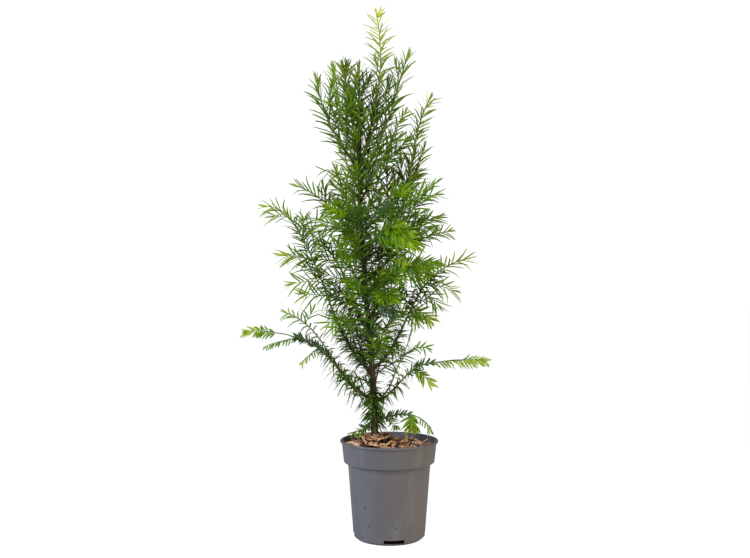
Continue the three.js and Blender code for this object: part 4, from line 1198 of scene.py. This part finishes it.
def chip_blocks(rng):
    """The corners of every bark chip: flat split slabs with uneven outlines, strewn over the mound.

    Each is centre + forward x + across y + normal z, where x and y run round an uneven ellipse and z takes
    one ridged layer after another.
    """
    corners = CHIP["corners"]
    limit = pot_inside(MIX["edge"]) - CHIP["from_wall"]
    radius = limit * np.sqrt(rng.uniform(0, 1, CHIP["count"]))
    turn = rng.uniform(0, 2 * math.pi, CHIP["count"])
    x, y = radius * np.cos(turn), radius * np.sin(turn)
    clear_of_stem = np.hypot(x - TRUNK["foot"][0], y - TRUNK["foot"][1]) > CHIP["from_stem"]
    x, y = x[clear_of_stem], y[clear_of_stem]
    count = len(x)
    long = rng.gamma(CHIP["spread"], 1.0, count) / CHIP["spread"] * CHIP["long"] * MM
    broad = np.clip(long * rng.uniform(*CHIP["width"], count), *CHIP["widths"])
    thick = rng.uniform(*CHIP["thick"], count) * MM
    top = mix_top(x, y) + rng.uniform(*CHIP["height"], count) * MM
    yaw = rng.uniform(0, 2 * math.pi, count)
    pitch = rng.normal(0, CHIP["pitch"], count)
    tip = rng.normal(0, CHIP["tip"], count)
    forward = np.stack([np.cos(yaw) * np.cos(pitch), np.sin(yaw) * np.cos(pitch), np.sin(pitch)], axis=1)
    level = np.stack([-np.sin(yaw), np.cos(yaw), np.zeros(count)], axis=1)
    upright = np.cross(forward, level)
    across = unit(level * np.cos(tip)[:, None] + upright * np.sin(tip)[:, None])
    normal = np.cross(forward, across)
    corner = circle(corners)
    uneven = rng.uniform(*CHIP["uneven"], (count, corners))
    out_x = np.cos(corner) * uneven * long[:, None] / 2
    out_y = np.sin(corner) * uneven * broad[:, None] / 2
    centre = np.stack([x, y, top], axis=1)
    layers = []
    for height, size in CHIP["layers"]:
        ridge = rng.uniform(-CHIP["ridge"], CHIP["ridge"], (count, corners)) + height
        layers.append(
            centre[:, None]
            + forward[:, None] * (out_x * size)[..., None]
            + across[:, None] * (out_y * size)[..., None]
            + normal[:, None] * (ridge * thick[:, None])[..., None]
        )
    block = np.stack(layers, axis=1).reshape(count, len(layers) * corners, 3)
    far = np.linalg.norm(block[..., :2], axis=-1).max(axis=1)
    wall = pot_inside(MIX["edge"]) - CHIP["clear"]
    block[..., :2] *= np.minimum(1, wall / far)[:, None, None]
    return block


def chip_pieces():
    """The bark chips dealt out to one piece for each colour."""
    rng = np.random.default_rng(SEEDS["chips"])
    block = chip_blocks(rng)
    kinds = rng.choice(len(CHIP_KINDS), len(block), p=[share for _, share, _ in CHIP_KINDS])
    corners, rings = CHIP["corners"], len(CHIP["layers"])
    sides = ring_faces(rings, corners)
    ends = np.stack([np.arange(corners)[::-1], np.arange(corners) + (rings - 1) * corners])
    pieces = []
    for kind, (name, _, colour) in enumerate(CHIP_KINDS):
        chosen = block[kinds == kind]
        offset = np.arange(len(chosen))[:, None, None] * rings * corners
        faces = (sides[None] + offset).reshape(-1, 4).tolist()
        faces += (ends[None] + offset).reshape(-1, corners).tolist()
        finish = chip_finish(f"chip_{name}", colour)
        points = chosen.reshape(-1, 3)
        pieces.append(make_object(f"bark_chips_{name}", points, faces, [finish], smooth_shade=False))
    return pieces


# ---- Finishes -----------------------------------------------------------------------------------
def new_finish(name, roughness):
    """A material of one roughness, with its node tree and its shader."""
    material = bpy.data.materials.new(name)
    material.use_nodes = True
    shader = material.node_tree.nodes["Principled BSDF"]
    shader.inputs["Roughness"].default_value = roughness
    return material, material.node_tree, shader


def object_noise(tree, scale, stretch=(1, 1, 1), detail=4.0, offset=(0, 0, 0)):
    """Noise on Object coordinates, stretched along the axes."""
    place = tree.nodes.new("ShaderNodeTexCoord")
    mapping = tree.nodes.new("ShaderNodeMapping")
    mapping.inputs["Scale"].default_value = stretch
    mapping.inputs["Location"].default_value = offset
    noise = tree.nodes.new("ShaderNodeTexNoise")
    noise.inputs["Scale"].default_value = scale
    noise.inputs["Detail"].default_value = detail
    tree.links.new(place.outputs["Object"], mapping.inputs["Vector"])
    tree.links.new(mapping.outputs["Vector"], noise.inputs["Vector"])
    return noise.outputs["Fac"]


def ramp(tree, factor, stops):
    """A colour ramp from (place, colour) stops."""
    node = tree.nodes.new("ShaderNodeValToRGB")
    elements = node.color_ramp.elements
    while len(elements) < len(stops):
        elements.new(0.5)
    for element, (place, colour) in zip(elements, stops):
        element.position = place
        element.color = (*colour, 1.0)
    tree.links.new(factor, node.inputs["Fac"])
    return node.outputs["Color"]


def bump(tree, shader, height, strength, distance):
    """Fine relief on a shader's surface, as high as the given value."""
    node = tree.nodes.new("ShaderNodeBump")
    node.inputs["Strength"].default_value = strength
    node.inputs["Distance"].default_value = distance
    tree.links.new(height, node.inputs["Height"])
    tree.links.new(node.outputs["Normal"], shader.inputs["Normal"])


def mapped(tree, value, low, high, to_low=0.0, to_high=1.0):
    """A value carried evenly from one range to another and held at its ends."""
    node = tree.nodes.new("ShaderNodeMapRange")
    for socket, number in (("From Min", low), ("From Max", high), ("To Min", to_low), ("To Max", to_high)):
        node.inputs[socket].default_value = number
    tree.links.new(value, node.inputs["Value"])
    return node.outputs["Result"]


def scaled(tree, value, factor):
    """A value times a plain number."""
    node = tree.nodes.new("ShaderNodeMath")
    node.operation = "MULTIPLY"
    node.inputs[1].default_value = factor
    tree.links.new(value, node.inputs[0])
    return node.outputs[0]


def blended(tree, factor, below, above):
    """The first colour where the factor is 0 and the second where it is 1; the second may be plain."""
    mix = tree.nodes.new("ShaderNodeMix")
    mix.data_type = "RGBA"
    tree.links.new(factor, mix.inputs["Factor"])
    tree.links.new(below, mix.inputs["A"])
    if isinstance(above, tuple):
        mix.inputs["B"].default_value = (*above, 1)
    else:
        tree.links.new(above, mix.inputs["B"])
    return mix.outputs["Result"]


def shade_of(colour, factor):
    """A colour made darker or lighter, each part held at 1."""
    return tuple(min(1.0, c * factor) for c in colour)


def drifting_finish(name, roughness, noise, stops, relief=None):
    """A finish whose colour follows noise through stops, with relief of the same noise if given."""
    material, tree, shader = new_finish(name, roughness)
    value = object_noise(tree, **noise)
    tree.links.new(ramp(tree, value, stops), shader.inputs["Base Color"])
    if relief is not None:
        bump(tree, shader, value, *relief)
    return material, shader


def needle_finish(name, colour, roughness):
    """A waxy needle face: one plain colour with a faint drift in depth."""
    stops = [(0.35, shade_of(colour, 0.86)), (0.65, shade_of(colour, 1.14))]
    material, shader = drifting_finish(name, roughness, dict(scale=90, detail=2.0), stops)
    shader.inputs["Specular IOR Level"].default_value = 0.13
    return material


def bark_finish():
    """Reddish-brown bark with dark furrows and tan flakes low down, darker where the crown shades it."""
    material, tree, shader = new_finish("yew_bark", 0.82)
    noise = object_noise(tree, 260, stretch=(1, 1, 0.35), detail=8.0)
    low = [
        (0.30, (0.016, 0.008, 0.006)),
        (0.47, (0.060, 0.026, 0.015)),
        (0.60, (0.118, 0.058, 0.034)),
        (0.74, (0.290, 0.175, 0.105)),
    ]
    high = [(0.30, (0.008, 0.007, 0.004)), (0.60, (0.030, 0.022, 0.012)), (0.74, (0.085, 0.062, 0.030))]
    parts = tree.nodes.new("ShaderNodeSeparateXYZ")
    here = tree.nodes.new("ShaderNodeTexCoord")
    tree.links.new(here.outputs["Object"], parts.inputs[0])
    share = mapped(tree, parts.outputs["Z"], 0.23, 0.31)
    colour = blended(tree, share, ramp(tree, noise, low), ramp(tree, noise, high))
    tree.links.new(colour, shader.inputs["Base Color"])
    bump(tree, shader, noise, 0.6, 0.0008)
    return material


def twig_finish(name, dark, light):
    """A young twig's smooth skin."""
    return drifting_finish(name, 0.6, dict(scale=150, detail=3.0), [(0.35, dark), (0.65, light)])[0]


def chip_finish(name, colour):
    """Split bark or wood, streaked along its grain."""
    stops = [(0.32, shade_of(colour, 0.45)), (0.5, colour), (0.7, shade_of(colour, 1.35))]
    noise = dict(scale=420, stretch=(1, 0.3, 1), detail=6.0)
    return drifting_finish(name, 0.88, noise, stops, (0.5, 0.0006))[0]


def bed_finish():
    """The mix's own dark brown, taken near black to paint the shade in the gaps between the chips."""
    stops = [(0.35, (0.010, 0.006, 0.004)), (0.6, (0.04, 0.022, 0.013)), (0.75, (0.12, 0.07, 0.04))]
    return drifting_finish("mix_with_painted_gap_shade", 0.95, dict(scale=500, detail=6.0), stops, (0.9, 0.001))[0]


# Small near-black spots painted on the pot's side: place, then radius.
POT_DARK_SPOTS = [
    (-39, -48.8, 58.2, 1.7),
    (-32.7, -50.9, 29.6, 1.3),
    (9.8, -59.7, 29, 1.2),
    (-42.2, -41.2, 10.4, 1.3),
]
DARK_SPOT = dict(outer=1.3, inner=0.6, colour=(0.015, 0.014, 0.014))


def dark_spotted(tree, colour, place, size):
    """The colour with a dark spot round a place, soft at its rim."""
    here = tree.nodes.new("ShaderNodeTexCoord")
    away = tree.nodes.new("ShaderNodeVectorMath")
    away.operation = "DISTANCE"
    away.inputs[1].default_value = place
    tree.links.new(here.outputs["Object"], away.inputs[0])
    spot = mapped(tree, away.outputs["Value"], size * DARK_SPOT["outer"], size * DARK_SPOT["inner"])
    return blended(tree, spot, colour, DARK_SPOT["colour"])


def pot_finish():
    """Satin grey moulded plastic: a soft drift of tone, faint wiped streaks, specks and fine scratches."""
    material, tree, shader = new_finish("grey_plastic", 0.5)
    black, white = (0, 0, 0), (1, 1, 1)
    drift = object_noise(tree, 14, stretch=(1, 1, 0.5), detail=5.0)
    colour = ramp(tree, drift, [(0.3, (0.092, 0.088, 0.093)), (0.7, (0.128, 0.122, 0.127))])
    streaks = object_noise(tree, 60, stretch=(1, 1, 0.12), detail=7.0, offset=(3, 1, 0))
    wiped = ramp(tree, streaks, [(0.56, black), (0.72, white)])
    colour = blended(tree, scaled(tree, wiped, 0.35), colour, (0.19, 0.19, 0.19))
    specks = object_noise(tree, 520, detail=2.0, offset=(7, 2, 5))
    speckled = ramp(tree, specks, [(0.70, black), (0.74, white)])
    colour = blended(tree, scaled(tree, speckled, 0.5), colour, (0.05, 0.05, 0.05))
    for x, y, z, size in POT_DARK_SPOTS:
        colour = dark_spotted(tree, colour, (x * MM, y * MM, z * MM), size * MM)
    tree.links.new(colour, shader.inputs["Base Color"])
    tree.links.new(mapped(tree, drift, 0, 1, 0.40, 0.62), shader.inputs["Roughness"])
    bump(tree, shader, object_noise(tree, 900, detail=3.0), 0.12, 0.0003)
    return material


# ---- Stage --------------------------------------------------------------------------------------
FRAME_WIDTH = 750
FOCAL_PIXELS = 909.8  # focal length in pixels of that frame
CAMERA_AT = (-0.0232, -1.49, 0.4215)
SENSOR = 36
# The floor's size, depth below the pot, grey and glow; the surround's strength as a light and as seen.
FLOOR = dict(half=12.0, down=0.0004, grey=0.8, glow=1.08, glow_share=0.92)
SURROUND = dict(light=0.16, seen=1.1)
AIM = np.array([-0.02, 0.0, 0.45])  # the middle of the plant, which every lamp faces
# Area lights: name, place, side, power and colour.
LAMPS = [
    ("left", (-1.9, -1.0, 1.3), 1.2, 60, (0.70, 0.79, 1.0)),
    ("right", (1.9, -0.9, 1.0), 1.2, 34, (1.0, 0.82, 0.56)),
    ("front", (0.1, -1.7, 2.1), 1.4, 18, (1, 0.98, 0.94)),
]


def mixed_shaders(tree, share, first, second):
    """One shader where the share is 0 and another where it is 1."""
    mix = tree.nodes.new("ShaderNodeMixShader")
    tree.links.new(share, mix.inputs["Fac"])
    tree.links.new(first, mix.inputs[1])
    tree.links.new(second, mix.inputs[2])
    return mix.outputs["Shader"]


def set_camera():
    """A level camera in front of the plant."""
    camera = bpy.data.cameras.new("camera")
    camera.sensor_width = SENSOR
    camera.lens = SENSOR * FOCAL_PIXELS / FRAME_WIDTH
    view = bpy.data.objects.new("camera", camera)
    view.location = CAMERA_AT
    view.rotation_euler = (math.pi / 2, 0, 0)
    bpy.context.scene.collection.objects.link(view)
    bpy.context.scene.camera = view


def lay_floor():
    """A pale floor, a little below the pot's foot, that glows faintly where it is seen."""
    material, tree, shader = new_finish("floor", 0.9)
    shader.inputs["Base Color"].default_value = (FLOOR["grey"], FLOOR["grey"], FLOOR["grey"], 1)
    pale = tree.nodes.new("ShaderNodeEmission")
    pale.inputs["Strength"].default_value = FLOOR["glow"]
    seen = tree.nodes.new("ShaderNodeLightPath")
    share = scaled(tree, seen.outputs["Is Camera Ray"], FLOOR["glow_share"])
    surface = mixed_shaders(tree, share, shader.outputs["BSDF"], pale.outputs["Emission"])
    tree.links.new(surface, tree.nodes["Material Output"].inputs["Surface"])
    half = FLOOR["half"]
    corners = np.array([(-half, -half, 0), (half, -half, 0), (half, half, 0), (-half, half, 0)])
    floor = make_object("floor", corners, [[0, 1, 2, 3]], [material])
    floor.location.z = -FLOOR["down"]


def set_surround():
    """A white surround that is brighter where it is seen than as a light."""
    world = bpy.data.worlds.new("surround")
    world.use_nodes = True
    tree = world.node_tree
    light = tree.nodes["Background"]
    bright = tree.nodes.new("ShaderNodeBackground")
    for background, strength in ((light, SURROUND["light"]), (bright, SURROUND["seen"])):
        background.inputs["Color"].default_value = (1, 1, 1, 1)
        background.inputs["Strength"].default_value = strength
    seen = tree.nodes.new("ShaderNodeLightPath").outputs["Is Camera Ray"]
    surface = mixed_shaders(tree, seen, light.outputs["Background"], bright.outputs["Background"])
    tree.links.new(surface, tree.nodes["World Output"].inputs["Surface"])
    bpy.context.scene.world = world
    bpy.context.scene.view_settings.view_transform = "Standard"


def add_lamp(name, place, side, power, colour):
    """A square area light that faces the middle of the plant."""
    light = bpy.data.lights.new(name, "AREA")
    light.size = side
    light.energy = power
    light.color = colour
    lamp = bpy.data.objects.new(name, light)
    lamp.location = place
    x, y, z = AIM - np.array(place)
    lamp.rotation_euler = (math.pi / 2 + math.atan2(z, math.hypot(x, y)), 0, math.atan2(y, x) - math.pi / 2)
    bpy.context.scene.collection.objects.link(lamp)


# ---- Assembly -----------------------------------------------------------------------------------
BROWN_SKIN = (0.036, 0.030, 0.012), (0.096, 0.072, 0.030)
GREEN_SKIN = (0.07, 0.12, 0.015), (0.14, 0.20, 0.035)
LIME_SKIN = (0.24, 0.30, 0.03), (0.42, 0.48, 0.08)
CUT_WOOD = (0.55, 0.38, 0.22, 1)


def keep(piece, slot, *nodes):
    """Puts a piece on the plant's one body and hides the nodes it stands for; the slot is not used."""
    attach(piece, "root")
    if nodes:
        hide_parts(*nodes)


def make_wood():
    """The stem, the boughs, the twigs in three skins and the pruned stub."""
    bark = bark_finish()
    limbs = [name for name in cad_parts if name.startswith("bough_")]
    keep(stem_piece(bark), "yew_bark", "trunk")
    keep(boughs.piece("boughs", bark), "yew_bark", *limbs)
    keep(brown_twigs.piece("brown_twigs", twig_finish("brown_twig", *BROWN_SKIN)), "yew_bark")
    keep(green_twigs.piece("green_twigs", twig_finish("green_twig", *GREEN_SKIN)), "young_needles")
    keep(lime_twigs.piece("lime_twigs", twig_finish("lime_twig", *LIME_SKIN)), "young_needles")
    cut, _, shader = new_finish("cut_wood", 0.8)
    shader.inputs["Base Color"].default_value = CUT_WOOD
    keep(stub_piece(bark, cut), "yew_bark")


def make_needles():
    """One piece for each hue, of all the needles whose own hue rounds to it."""
    rows = np.vstack(needle_rows)
    kinds = np.clip(np.round(np.concatenate(needle_hues)), 0, len(HUES) - 1)
    masses = [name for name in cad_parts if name.startswith("needles_")]
    for kind, (name, slot, upper, under) in enumerate(HUES):
        finishes = [needle_finish(f"{name}_upper", upper, 0.36), needle_finish(f"{name}_under", under, 0.5)]
        keep(needle_piece(f"needles_{name}", rows[kinds == kind], finishes), slot, *masses)


set_camera()
lay_floor()
set_surround()
for lamp in LAMPS:
    add_lamp(*lamp)

for number, row in enumerate(SHOOTS.values()):
    make_shoot(number, row)
inner_shoots()
clothe_trunk()
make_wood()
make_needles()

keep(pot_piece(pot_finish()), "pot_plastic", "pot")
keep(bed_piece(bed_finish()), "bark_mulch", "potting_mix")
for chips in chip_pieces():
    keep(chips, "bark_mulch")
